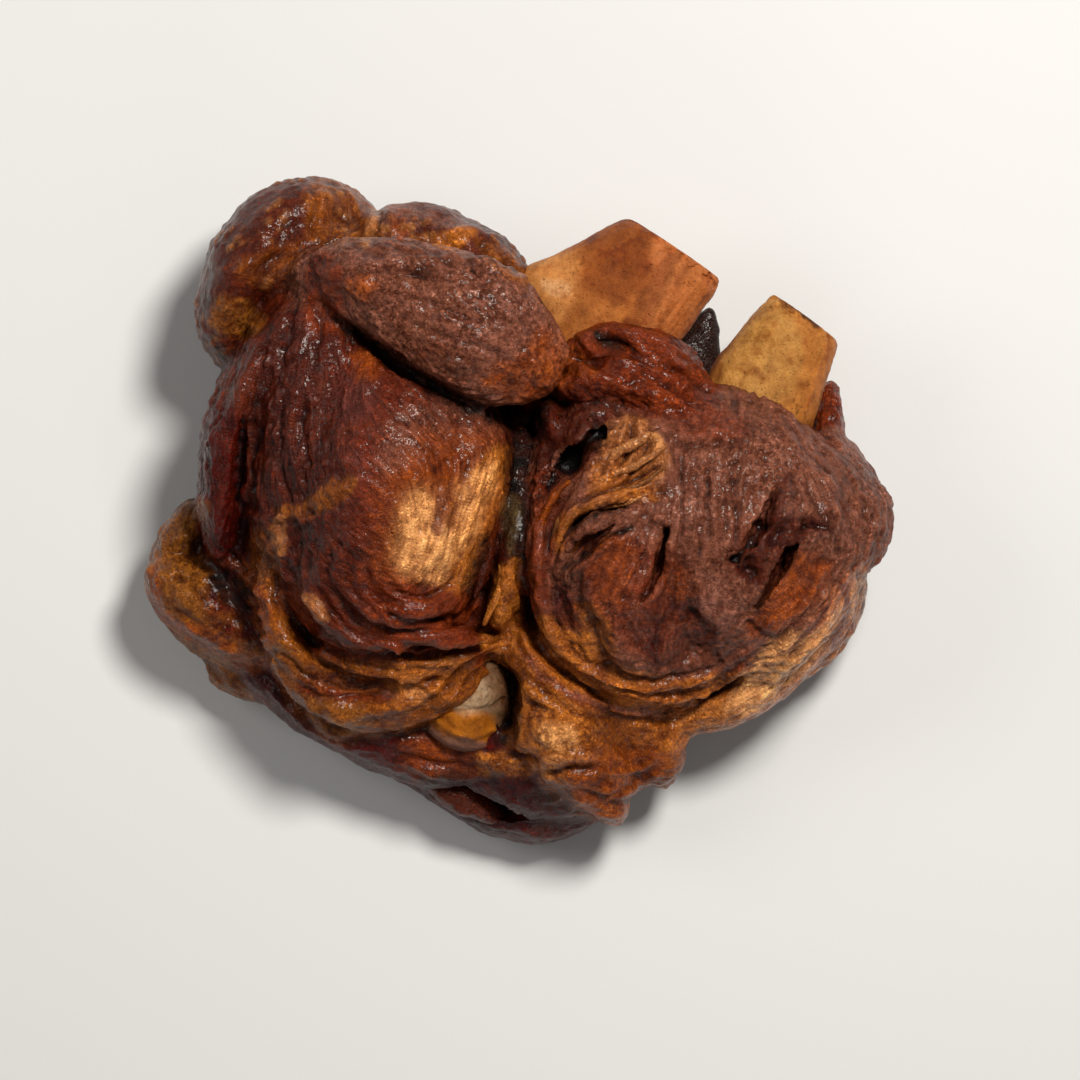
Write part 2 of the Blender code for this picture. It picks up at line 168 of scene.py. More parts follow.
# Grooves that part the lobes: path stations (x, y, z, half width, half depth)
GROOVES = [
    [(-44, 50, 62, 1.6, 8), (-34, 41, 62, 2.4, 10), (-24, 34, 64, 2.6, 10), (-12, 27.5, 66, 2.0, 8),
     (4, 21, 66, 1.4, 6)],
    [(-67, 24, 58, 1.4, 10), (-68.5, 8, 54, 2.0, 12), (-67.5, -6, 50, 2.4, 12),
     (-71, -19, 42, 4.5, 14), (-64, -27, 34, 3, 8)],
    [(37.5, -1, 68, 0.5, 5), (37.4, -7, 67, 1.7, 12), (35.5, -14, 66, 1.8, 13), (30.5, -24, 63, 0.5, 5)],
    [(67, 10, 66, 0.5, 4), (64, 3, 67, 1.6, 7), (60, -5, 67, 1.9, 7), (54, -12, 66, 0.8, 5)],
    [(71, -6, 64, 0.6, 4), (67, -11, 64, 1.8, 8), (63, -18, 62, 1.8, 9), (59, -25, 60, 0.5, 5)],
    [(23, 23, 64, 0.8, 6), (18, 17, 64, 2.4, 11), (12, 11, 63, 3.2, 13), (7, 4, 60, 1.0, 8)],
    [(32, 3, 68, 0.5, 4), (22, 1, 68, 1.5, 7), (14, -5, 66, 1.6, 8), (8, -17, 60, 0.8, 7)],
    [(27, -2, 70, 0.5, 4), (19, -6, 69, 1.6, 7), (14, -11, 66, 1.6, 7), (12, -16, 63, 0.6, 6)],
    [(-7, -36, 44, 3.4, 14), (-1, -44, 44, 3, 14), (-3, -57, 38, 2.4, 10)],
    [(-24, -66, 17, 2, 3), (-12, -69, 18, 5, 6), (0, -72, 18, 6, 7), (10, -75, 18, 2, 4)],
]

# Sawn bones, from the sawn end inwards, and the joint end seen in the gap below
BONES = {
    "bone_wide": [(40.2, 66.4, 39, 15.4, 11.5), (33, 60, 39, 17.1, 11.5), (25.8, 54, 39, 19.2, 11.5),
                  (18.6, 48.2, 39, 20.8, 11), (13, 39, 38, 17, 10), (10, 29, 37, 10, 8)],
    "bone_narrow": [(72.9, 49.2, 38, 11.4, 10.5), (67, 38.2, 38, 13, 11), (61.4, 27.7, 38, 14.9, 11.5),
                    (56, 16.5, 37, 13, 10), (51, 5, 36, 8, 7)],
    "joint_bone": [(-5, -36, 34, 5, 6), (-9, -44, 33, 8.5, 9), (-12.5, -51, 29, 10, 10),
                   (-14, -57.5, 25, 9.5, 8)],
}
# The way each saw cut runs across its bone, seen from above; the far end runs square to its path
SAW_CUTS = {"bone_wide": (-0.83, 0.56, 0.0), "bone_narrow": (-0.81, 0.59, 0.0)}

# Which lobes make which visible piece, and which tissue each is
TISSUES = {
    "skin": SKIN_UNDER, "left_muscle": LEFT_MUSCLE, "flap": FLAP, "rind_roll": RIND_ROLL,
    "knob": LEFT_KNOB, "shelf": FAT_SHELF, "swirl": SWIRL_FOLDS, "bottom_rind": BOTTOM_RIND,
    "bottom_fat": BOTTOM_FAT, "right_muscle": RIGHT_MUSCLE, "skin_flaps": SKIN_FLAPS,
    "fat_band": FAT_BAND, "valley": VALLEY_STRANDS,
}
NAMES = list(TISSUES)
PIECES = {
    "left_meat": ("left_muscle", "flap", "swirl", "shelf"),
    "right_meat": ("right_muscle", "skin_flaps", "valley"),
    "outer_skin": ("skin",),
    "rind_and_fat": ("rind_roll", "knob", "bottom_rind", "bottom_fat", "fat_band"),
}


def unit(vectors, least=0.0):
    """The vectors at length 1, or shorter where their length was below least."""
    return vectors / np.maximum(np.linalg.norm(vectors, axis=1), least)[:, None]


def smooth_path(stations, share):
    """The stations' numbers at each share, 0 to 1, of the path, on a Catmull-Rom curve."""
    points = np.array(stations, float)
    before = 2 * points[0] - points[1]
    after = 2 * points[-1] - points[-2]
    points = np.concatenate([[before], points, [after]])
    spans = len(stations) - 1
    place = np.clip(share, 0.0, 1.0) * spans
    first = np.minimum(place.astype(int), spans - 1)
    t = (place - first)[:, None]
    a, b, c, d = (points[first + k] for k in range(4))
    return 0.5 * (2 * b + (c - a) * t + (2 * a - 5 * b + 4 * c - d) * t**2
                  + (3 * b - a - 3 * c + d) * t**3)


def lobe(stations, grain, bluntness=ROUND_BLUNTNESS, across=None):
    """Points and faces of a sphere drawn out along the path. across fixes the way of its width."""
    bm = bmesh.new()
    bmesh.ops.create_uvsphere(bm, u_segments=grain[0], v_segments=grain[1], radius=1.0)
    ball = np.array([v.co for v in bm.verts])
    faces = [[v.index for v in face.verts] for face in bm.faces]
    bm.free()
    share = (1.0 - ball[:, 2]) / 2.0
    around = np.arctan2(ball[:, 1], ball[:, 0])
    girth = np.clip(np.hypot(ball[:, 0], ball[:, 1]), 0.0, 1.0) ** bluntness
    centre = smooth_path(stations, share)
    nudge = 0.01
    ahead = unit((smooth_path(stations, share + nudge) - smooth_path(stations, share - nudge))[:, :3])
    side = unit(np.cross(ahead, (0.0, 0.0, 1.0)))
    if across is not None:
        side = np.tile(across, (len(ahead), 1))
        ahead = np.cross((0.0, 0.0, 1.0), side)
    up = np.cross(side, ahead)
    width = np.maximum(centre[:, 3], LEAST_HALF) * girth * np.cos(around)
    height = np.maximum(centre[:, 4], LEAST_HALF) * girth * np.sin(around)
    return centre[:, :3] + side * width[:, None] + up * height[:, None], faces


def mesh_object(name, points, faces):
    mesh = bpy.data.meshes.new(name)
    mesh.from_pydata((np.asarray(points) * MM).tolist(), [], faces)
    obj = bpy.data.objects.new(name, mesh)
    bpy.context.scene.collection.objects.link(obj)
    return obj


def joined(name, paths, grain):
    """One object holding a lobe for each path, still overlapping."""
    points, faces, start = [], [], 0
    for stations in paths:
        some, sides = lobe(stations, grain)
        points.append(some)
        faces += [[start + corner for corner in face] for face in sides]
        start += len(some)
    return mesh_object(name, np.concatenate(points), faces)


def apply_modifiers(obj):
    graph = bpy.context.evaluated_depsgraph_get()
    made = bpy.data.meshes.new_from_object(obj.evaluated_get(graph))
    obj.modifiers.clear()
    obj.data = made


def fuse(obj, voxel, rounds=3):
    """Fuses the overlapping lobes into one skin, and rounds the seams a little."""
    remesh = obj.modifiers.new("fuse", "REMESH")
    remesh.mode = "VOXEL"
    remesh.voxel_size = voxel * MM
    smooth = obj.modifiers.new("round", "SMOOTH")
    smooth.factor = 0.5
    smooth.iterations = rounds
    apply_modifiers(obj)


def carve(obj, paths):
    """Cuts a groove along each path."""
    cutters = bpy.data.collections.new("grooves")
    bpy.context.scene.collection.children.link(cutters)
    for stations in paths:
        groove = joined("groove", [stations], GROOVE_GRAIN)
        bpy.context.scene.collection.objects.unlink(groove)
        cutters.objects.link(groove)
    boolean = obj.modifiers.new("grooves", "BOOLEAN")
    boolean.operation = "DIFFERENCE"
    boolean.operand_type = "COLLECTION"
    boolean.collection = cutters
    boolean.solver = "MANIFOLD"
    apply_modifiers(obj)
    for groove in list(cutters.objects):
        bpy.data.objects.remove(groove)
    bpy.data.collections.remove(cutters)


def largest_part(count, edges):
    """Whether each point belongs to the largest connected part."""
    label = np.arange(count)
    while True:
        low = np.minimum(label[edges[:, 0]], label[edges[:, 1]])
        new = label.copy()
        np.minimum.at(new, edges[:, 0], low)
        np.minimum.at(new, edges[:, 1], low)
        new = new[new]
        if np.array_equal(new, label):
            break
        label = new
    return label == np.bincount(label).argmax()


class Skin:
    """The meat's skin as arrays: points and normals in millimetres, faces and edges."""

    def __init__(self, obj):
        mesh = obj.data
        count = len(mesh.vertices)
        points = np.empty(count * 3)
        mesh.vertices.foreach_get("co", points)
        self.points = points.reshape(-1, 3) / MM
        corners = np.empty(len(mesh.loops), int)
        mesh.loops.foreach_get("vertex_index", corners)
        self.faces = corners.reshape(-1, 4)
        self.keep_largest()
        self.measure()

    def keep_largest(self):
        edges = np.concatenate([self.faces[:, [0, 1]], self.faces[:, [1, 2]]])
        kept = largest_part(len(self.points), edges)
        new_index = np.cumsum(kept) - 1
        self.faces = new_index[self.faces[kept[self.faces[:, 0]]]]
        self.points = self.points[kept]

    def measure(self):
        """Normals, and each point's neighbours as pairs."""
        a, b, c, d = (self.points[self.faces[:, k]] for k in range(4))
        across = np.cross(c - a, d - b)
        normals = np.zeros_like(self.points)
        for k in range(4):
            np.add.at(normals, self.faces[:, k], across)
        self.normals = unit(normals)
        sides = np.concatenate([self.faces[:, [k, (k + 1) % 4]] for k in range(4)])
        self.edges = np.unique(np.sort(sides, axis=1), axis=0)

    def spread(self, values, rounds):
        """The values, evened out over the skin by averaging neighbours."""
        ends = self.edges
        count = np.bincount(ends.ravel(), minlength=len(self.points)).astype(float)
        values = np.array(values, float)
        for _ in range(rounds):
            near = np.bincount(ends[:, 0], values[ends[:, 1]], len(values))
            near += np.bincount(ends[:, 1], values[ends[:, 0]], len(values))
            values = 0.5 * values + 0.5 * near / count
        return values


# Noise

draw = np.random.default_rng(SEED)
SHUFFLE = draw.permutation(256)
ARROWS = unit(draw.normal(size=(256, 3)))
JITTER = draw.random((256, 3))


def scatter(cell):
    """A steady random number, 0 to 255, for each whole-number cell."""
    cell = cell & 255
    return SHUFFLE[(SHUFFLE[(SHUFFLE[cell[:, 0]] + cell[:, 1]) & 255] + cell[:, 2]) & 255]


def noise(points, size, seed=0):
    """Gradient noise, about -1 to 1, whose lumps are about size millimetres across."""
    spot = points / size + seed * 17.3
    cell = np.floor(spot).astype(int)
    f = spot - cell
    u = f * f * f * (f * (f * 6 - 15) + 10)
    total = np.zeros(len(spot))
    for corner in range(8):
        offset = np.array([corner & 1, corner >> 1 & 1, corner >> 2 & 1])
        weight = np.prod(np.where(offset, u, 1 - u), axis=1)
        total += weight * np.einsum("ij,ij->i", ARROWS[scatter(cell + offset)], f - offset)
    return total * 1.7


def rough(points, size, seed=0, layers=3):
    """Noise with finer layers on top, about -1 to 1."""
    total = 0.0
    for layer in range(layers):
        total = total + noise(points, size / 2**layer, seed + layer) / 1.8**layer
    return total / 1.5


def grains(points, size, seed=0):
    """How far each point is from the middle of its grain, 0 to about 1, and the grain's number."""
    spot = points / size + seed * 11.7
    cell = np.floor(spot).astype(int)
    nearest = np.full(len(spot), 9.0)
    number = np.zeros(len(spot), int)
    for dx in (-1, 0, 1):
        for dy in (-1, 0, 1):
            for dz in (-1, 0, 1):
                other = cell + (dx, dy, dz)
                code = scatter(other)
                gap = np.linalg.norm(spot - other - JITTER[code], axis=1)
                closer = gap < nearest
                nearest[closer] = gap[closer]
                number[closer] = code[closer]
    return nearest, number / 255


def step(values, low, high):
    """0 below low, 1 above high, smooth between. low may be above high."""
    t = np.clip((values - low) / (high - low), 0.0, 1.0)
    return t * t * (3 - 2 * t)


# How the fibres run, seen from above: place, and direction across and up
STROKES = np.array([
    (-60, 35, -0.3, -1), (-50, 35, -0.2, -1), (-44, 42, -0.1, -1), (-63, 15, -0.3, -1),
    (-55, 15, -0.3, -1), (-46, 24, 0.1, -1), (-38, 20, 0.5, -1), (-32, 28, 0.5, -1),
    (-25, 20, 0.6, -0.8), (-14, 22, 0.9, -0.4), (-46, 4, 0.5, -0.8), (-36, 8, 1, -0.4),
    (-25, 5, 0.3, -1), (-15, 2, -0.4, -1), (-7, 6, -0.35, -1), (-11, -10, -0.35, -1),
    (-22, -8, -0.3, -1), (-52, -12, 0.6, -0.8), (-36, -8, 1, -0.2), (-53, -27, 0.6, -0.8),
    (-40, -26, 0.9, -0.4), (-25, -30, 1, 0), (-10, -29, 1, 0.3), (-46, -38, 0.8, -0.5),
    (-30, -42, 1, 0), (-15, -39, 1, 0.5), (-52, -48, 0.6, -0.7), (-38, -53, 1, 0),
    (-42, 60, 0.9, -0.2), (-26, 54, 0.85, -0.5), (-10, 46, 0.85, -0.5), (6, 38, 0.6, -0.8),
    (3, 50, 0.6, -0.8), (45, 15, 0.05, -1), (40, 4, 0.05, -1), (43, -10, 0.1, -1),
    (36, -22, -0.4, -1), (51, 4, 0.1, -1), (58, 10, -0.4, -1), (62, -6, -0.5, -1),
    (75, 8, 0.5, -1), (86, 2, 0.4, -1), (66, -20, -0.5, -1), (48, -24, 0.2, -1),
    (28, -12, -0.5, -1), (20, -18, -0.4, -1), (28, 14, 0.8, 0.5), (18, 4, 0.9, 0.4),
    (13, -6, 0.6, 0.8), (9, -18, 0.3, -1), (6, -28, 0.4, -1), (14, -40, 0.8, -0.6),
    (30, -48, 1, 0), (46, -46, 0.9, 0.5), (36, -34, 0.5, -0.9), (24, -28, 0.6, -0.7),
    (56, -36, 0.8, 0.6), (18, 28, 0.6, -0.8), (34, 31, 0.9, -0.5), (30, 42, 0.8, -0.3),
    (45, -54, 0.85, 0.5), (60, -42, 0.75, 0.65), (74, -28, 0.7, 0.7), (85, -18, 0.5, 0.85),
    (8, -50, 0.3, -1), (12, -58, 0.9, -0.3), (26, -65, 0.7, -0.6), (30, -74, 0.9, -0.4),
    (1, -2, 0, -1), (-2, -25, 0.1, -1), (-84, -14, 0.5, -0.8), (-76, -32, 0.8, -0.5),
    (-50, -50, 0.75, -0.5), (-25, -62, 0.9, -0.3), (5, -75, 1, 0), (-73, 20, -0.15, -1),
    (-73, 0, -0.15, -1), (-74, 55, 0.3, 0.9), (-62, 72, 0.8, 0.6), (-45, 77, 0.1, 1),
    (-24, 72, 0.4, -0.9),
])
STROKE_REACH = 7.5
STROKE_WAVER, STROKE_WAVER_SIZE = 0.35, 9

# Folds seen from above: width, height (below zero for a crease), then the path
FOLDS = [
    (0.8, -1.3, [(41.5, 14), (41, 6), (41.5, -2), (40.5, -10)]),
    (0.7, -1.1, [(45.5, 12), (45, 4), (46, -6), (45, -14)]),
    (0.8, -1.2, [(54.5, 4), (55, -3), (53.5, -10)]),
    (0.7, 0.9, [(43, 13), (42.5, 4), (43, -8)]),
    (0.7, 0.9, [(49.5, 12), (49, 2), (50, -8)]),
    (1.4, 1.4, [(18, -12), (19, -20), (23, -27), (26, -34), (32, -40)]),
    (1.3, -1.8, [(15.5, -14), (16, -20), (19.5, -28), (22.5, -36), (29, -42)]),
    (0.7, 1.1, [(5, -16), (7, -22), (10, -28), (12, -32)]),
    (0.7, 1.0, [(11, -24), (14, -31), (20, -38), (28, -42.5), (38, -44)]),
    (0.8, 1.1, [(28, -43.5), (33, -46), (40, -46.5), (48, -44)]),
    (1.0, 1.2, [(34, -2), (36, -1.5), (40, -3)]),
    (0.9, 1.3, [(38.5, -4), (38.5, -10), (36.5, -17), (33.5, -22)]),
    (0.9, 1.1, [(34.5, -5), (33.5, -11), (31.5, -17), (29, -21)]),
    (0.8, -1.2, [(52, -10), (56, -12), (60, -11)]),
    (1.0, 1.2, [(70.5, -6), (74, -5), (78, -6)]),
    (0.9, -1.4, [(69, -5.5), (73, -3.5), (77, -4)]),
    (1.2, 1.3, [(67, -8), (64, -13), (61, -18), (58.5, -23)]),
    (1.0, -1.2, [(57, -26), (60, -29), (64, -31)]),
    (0.7, -1.2, [(36, 11.5), (30, 8.6), (24, 5.6), (18, 3.4), (13, 0.5)]),
    (0.8, 1.3, [(36, 8.5), (30, 6), (24, 4), (17, 2), (13, -2), (10, -8)]),
    (0.8, -2.2, [(28, 1.6), (22, 0.4), (17.5, -1.6), (14.5, -4)]),
    (0.9, 1.5, [(31, 0.6), (24, -0.6), (18, -2.8), (14, -6), (12, -11)]),
    (0.8, -2.2, [(29, -3.2), (24, -5.2), (19.5, -8.5), (15.5, -12), (12.5, -14)]),
    (0.8, 1.3, [(24, -7.5), (19, -11), (14, -15)]),
    (0.6, -1.3, [(24, 7), (27, 12), (29, 18), (29, 24)]),
    (0.6, -1.3, [(28, 8), (31, 13), (33, 18), (33, 22)]),
    (0.6, 1.1, [(22, 8), (25, 14), (27, 20), (28, 26)]),
    (0.6, 1.1, [(26, 8), (29, 13), (31, 19), (31, 24)]),
    (0.6, 1.1, [(31, 9), (34, 13), (35.5, 18)]),
    (1.2, 1.6, [(13, 10), (9, 4), (7, -3), (6, -11), (4, -18)]),
    (0.9, -1.2, [(15, 8), (11, 2), (9, -5), (8, -13)]),
    (1.3, -2.6, [(22, 43.5), (25, 42.8), (28, 41)]),
    (1.2, 1.5, [(16, 44), (20, 41), (25, 39), (31, 37.5)]),
    (0.8, -1.4, [(30, 36), (36, 33.5), (41, 30)]),
    (0.8, 1.2, [(38, 39), (41, 36), (42, 32), (40, 29)]),
    (0.9, 0.9, [(-44, 60.5), (-36, 61), (-24, 62.5), (-10, 62), (0, 57)]),
    (0.8, -0.9, [(-40, 58.5), (-30, 59), (-20, 58), (-10, 56)]),
    (0.7, -0.8, [(-33, 54), (-24, 53), (-14, 49), (-4, 46)]),
    (0.7, -0.8, [(-26, 47), (-18, 44), (-8, 41), (2, 36)]),
    (2.2, 0.9, [(-44, 44), (-41, 34), (-40, 22), (-38, 10), (-36, 0)]),
    (0.8, -1.1, [(-57, 30), (-58, 20), (-57, 8), (-54, 2)]),
    (0.8, -1.0, [(-52, 32), (-52, 20), (-50, 10)]),
    (0.8, 1.0, [(-54.5, 30), (-55, 18), (-53, 8)]),
    (0.9, -1.4, [(-62, 22), (-65, 12), (-64, 2)]),
    (0.9, 1.2, [(-63, 16), (-66, 8), (-68, 2)]),
    (0.7, 1.2, [(-54, -18), (-50, -22), (-46, -27), (-44, -30)]),
    (0.7, -1.1, [(-56, -16), (-52, -22), (-48, -28)]),
    (0.7, 1.0, [(-36, -21), (-32, -25), (-27, -27.5), (-21, -27)]),
    (0.7, 1.0, [(-30, -20), (-26, -23.5), (-21, -24), (-17, -22)]),
    (0.7, -1.0, [(-33, -22), (-29, -26), (-24, -27), (-18, -25.5)]),
    (0.7, 1.0, [(-38, -30), (-30, -33), (-22, -34), (-12, -32.5)]),
    (0.7, 1.0, [(-34, -35), (-26, -37), (-18, -36), (-10, -33.5)]),
    (0.7, -1.1, [(-36, -32.5), (-28, -35), (-18, -34.6), (-8, -32)]),
    (0.8, 1.1, [(-22, -50), (-16, -46), (-12, -40), (-7, -36)]),
    (0.8, 1.0, [(-25, -47), (-19, -43), (-14, -38), (-9, -35)]),
    (0.8, -1.1, [(-24, -49), (-17, -44), (-13, -39)]),
    (0.8, -1.4, [(-72, -8), (-68, -14), (-65, -20), (-63, -28)]),
    (0.9, 1.3, [(-69, -14), (-65, -18), (-61, -22), (-60, -29)]),
    (0.8, 1.3, [(-62, -36), (-57, -42), (-54, -48)]),
    (1.0, 1.0, [(-88, -8), (-84, -6), (-80, -5)]),
    (0.9, 1.0, [(0, -48), (2, -54), (1, -60)]),
    (0.8, 0.9, [(4, -44), (8, -48), (16, -50.5)]),
    (0.9, -1.3, [(-2, -60), (4, -61.5), (6, -64)]),
    (0.8, 1.1, [(20, -64), (28, -65), (36, -62)]),
    (0.8, -1.1, [(14, -68), (22, -71), (32, -67)]),
    (1.6, 1.3, [(-59, 48), (-65, 37), (-69, 25)]),
    (1.4, 1.1, [(-55, 53), (-58, 45), (-62, 33)]),
    (1.2, 0.9, [(-50, 53), (-52, 44), (-54, 35)]),
    (1.0, -1.2, [(-53, 54), (-55, 46), (-58, 36)]),
    (1.0, -1.0, [(-47, 50), (-48, 43), (-49, 36)]),
    (1.8, 1.0, [(-57, 0), (-49, 3), (-40, 8)]),
    (1.2, 1.2, [(-69, 2), (-62, -1), (-55, 0), (-50, -2)]),
    (1.0, 1.3, [(-60, -3), (-57, -8), (-57, -14), (-52, -21)]),
    (0.9, -1.3, [(-64, -4), (-61, -12), (-59, -20)]),
    (1.0, 1.0, [(-55, -19), (-50, -25), (-44, -30)]),
    (1.0, -1.2, [(-57, -22), (-53, -29), (-46, -34), (-34, -36)]),
    (1.5, 1.2, [(-60, -26), (-56, -33), (-46, -39), (-34, -40)]),
    (0.9, -1.2, [(-59, -33), (-52, -40), (-42, -43), (-30, -42)]),
    (1.6, 1.4, [(-57, -40), (-52, -46), (-44, -50), (-35, -49), (-27, -47)]),
    (0.9, -1.1, [(-54, -43), (-47, -46), (-38, -45), (-30, -44)]),
    (1.5, 1.2, [(-53, -49), (-45, -55), (-37, -54), (-28, -53), (-20, -51)]),
    (1.0, -1.0, [(-30, -50), (-24, -50), (-17, -48)]),
    (1.2, 1.2, [(-32, -41), (-24, -42), (-16, -46), (-11, -44), (-8, -40)]),
    (0.9, 1.0, [(-29, -31), (-28, -38), (-28.5, -46)]),
    (1.1, 0.9, [(-22, -33), (-12, -32), (-4, -31)]),
    (1.4, 1.1, [(-18, 8), (-17, 0), (-19, -7), (-17, -13)]),
    (1.1, -0.9, [(-15, 10), (-15, 2), (-17, -5)]),
    (1.6, 0.9, [(-4, 20), (-3, 10), (-5, 0), (-9, -10), (-14, -20)]),
    (1.2, 0.9, [(-9, 18), (-8, 14), (-9, 11)]),
    (1.2, -1.0, [(48, 13), (47.5, 2), (48.5, -8)]),
    (0.9, -0.8, [(43.5, 10), (43, -2), (44, -12)]),
    (0.9, -0.9, [(39.5, 8), (38.5, 0), (39, -8)]),
    (1.0, -0.9, [(51.5, 4), (52, -4), (50, -12)]),
    (1.6, -1.4, [(53, -10), (57, -13), (60, -17)]),
    (1.3, 1.1, [(67, 9), (66, 0), (63, -8)]),
    (1.4, 0.9, [(75, 12), (79, 4), (80, -6)]),
    (1.2, -0.8, [(70, 10), (74, 4), (76, -2)]),
    (1.2, -1.2, [(43, -21), (45, -26), (49, -30)]),
    (1.3, -1.2, [(39, -24), (36, -30), (35, -36)]),
    (1.2, 1.0, [(24, -24), (27, -32), (33, -40)]),
    (1.3, 1.2, [(2, -20), (2, -30), (6, -38), (14, -45), (26, -49), (38, -50)]),
    (1.0, -1.3, [(4, -18), (4.5, -28), (9, -36), (18, -43), (30, -46), (44, -44)]),
    (1.3, 1.1, [(7, -16), (8, -26), (12, -34), (22, -40), (34, -43), (48, -41)]),
    (0.9, -1.0, [(10, -20), (11, -28), (17, -36), (28, -40), (40, -41), (52, -37)]),
    (1.2, 0.9, [(44, -47), (52, -42), (60, -36)]),
    (1.0, -1.2, [(36, -56), (46, -48), (55, -42), (62, -35), (70, -27), (80, -15)]),
    (1.1, -0.9, [(64, -48), (70, -41), (77, -33), (84, -24)]),
    (0.9, 0.8, [(60, -47), (67, -38), (74, -32), (82, -20)]),
    (0.8, -0.9, [(84, -12), (87, -20), (85, -28)]),
    (1.8, 1.7, [(6, -62), (11, -60.5), (16, -60), (20, -61)]),
    (1.0, -1.5, [(6, -65), (13, -64), (22, -63.5)]),
    (1.2, 0.9, [(18, -66), (26, -70), (32, -68), (39, -63)]),
    (1.0, -1.0, [(17, -70), (25, -73), (33, -71)]),
    (1.2, 0.9, [(18, -76), (26, -76), (30, -74)]),
    (1.0, -1.0, [(0, -41), (4, -47), (10, -49), (22, -51), (32, -54)]),
    (1.6, 1.5, [(12, 42), (15, 37), (20, 35)]),
    (1.2, -1.6, [(14, 41), (17, 37.5), (23, 36.5)]),
    (1.3, 1.3, [(20, 46), (30, 45), (38, 40), (44, 33)]),
    (1.4, -1.8, [(19, 43), (25, 41), (31, 39.5)]),
    (1.3, 1.0, [(20, 39), (28, 37), (38, 34), (46, 28)]),
    (1.0, -1.0, [(24, 33), (32, 33), (40, 30), (50, 24)]),
    (1.1, 0.9, [(38, 20), (44, 19), (52, 20), (60, 17)]),
    (1.0, -0.9, [(38, 17), (45, 16.5), (52, 17.5)]),
    (1.3, 1.2, [(26, 26), (32, 20), (37, 16), (38, 10), (34, 4)]),
    (1.0, -1.2, [(-34, 78), (-34, 72), (-36, 67)]),
    (1.2, 1.0, [(-31, 77), (-30, 70), (-28, 66)]),
    (1.0, -1.0, [(-24, 77), (-22, 71), (-20, 66)]),
    (1.0, -1.2, [(-19, 72), (-15, 66), (-11, 66)]),
    (1.2, 1.1, [(-18, 69), (-12, 71), (-8, 70)]),
    (0.9, -1.0, [(-50, 83), (-50, 76), (-51, 68)]),
    (1.1, -1.1, [(-64, 62), (-58, 64), (-52, 66), (-44, 67)]),
    (1.4, 1.0, [(-62, 58), (-56, 59), (-50, 62), (-46, 65)]),
    (1.2, 0.9, [(-88, -12), (-90, -20), (-84, -27), (-74, -32), (-64, -36)]),
    (0.9, -0.9, [(-80, -10), (-80, -18), (-76, -24)]),
    (1.2, -1.0, [(-66, -38), (-58, -46), (-50, -54)]),
    (1.0, 0.9, [(-62, -44), (-54, -52), (-44, -58), (-32, -60)]),
    (1.0, -1.0, [(-30, -60), (-20, -63), (-10, -63)]),
    (1.1, 1.0, [(-26, -63), (-18, -66), (-8, -66)]),
]

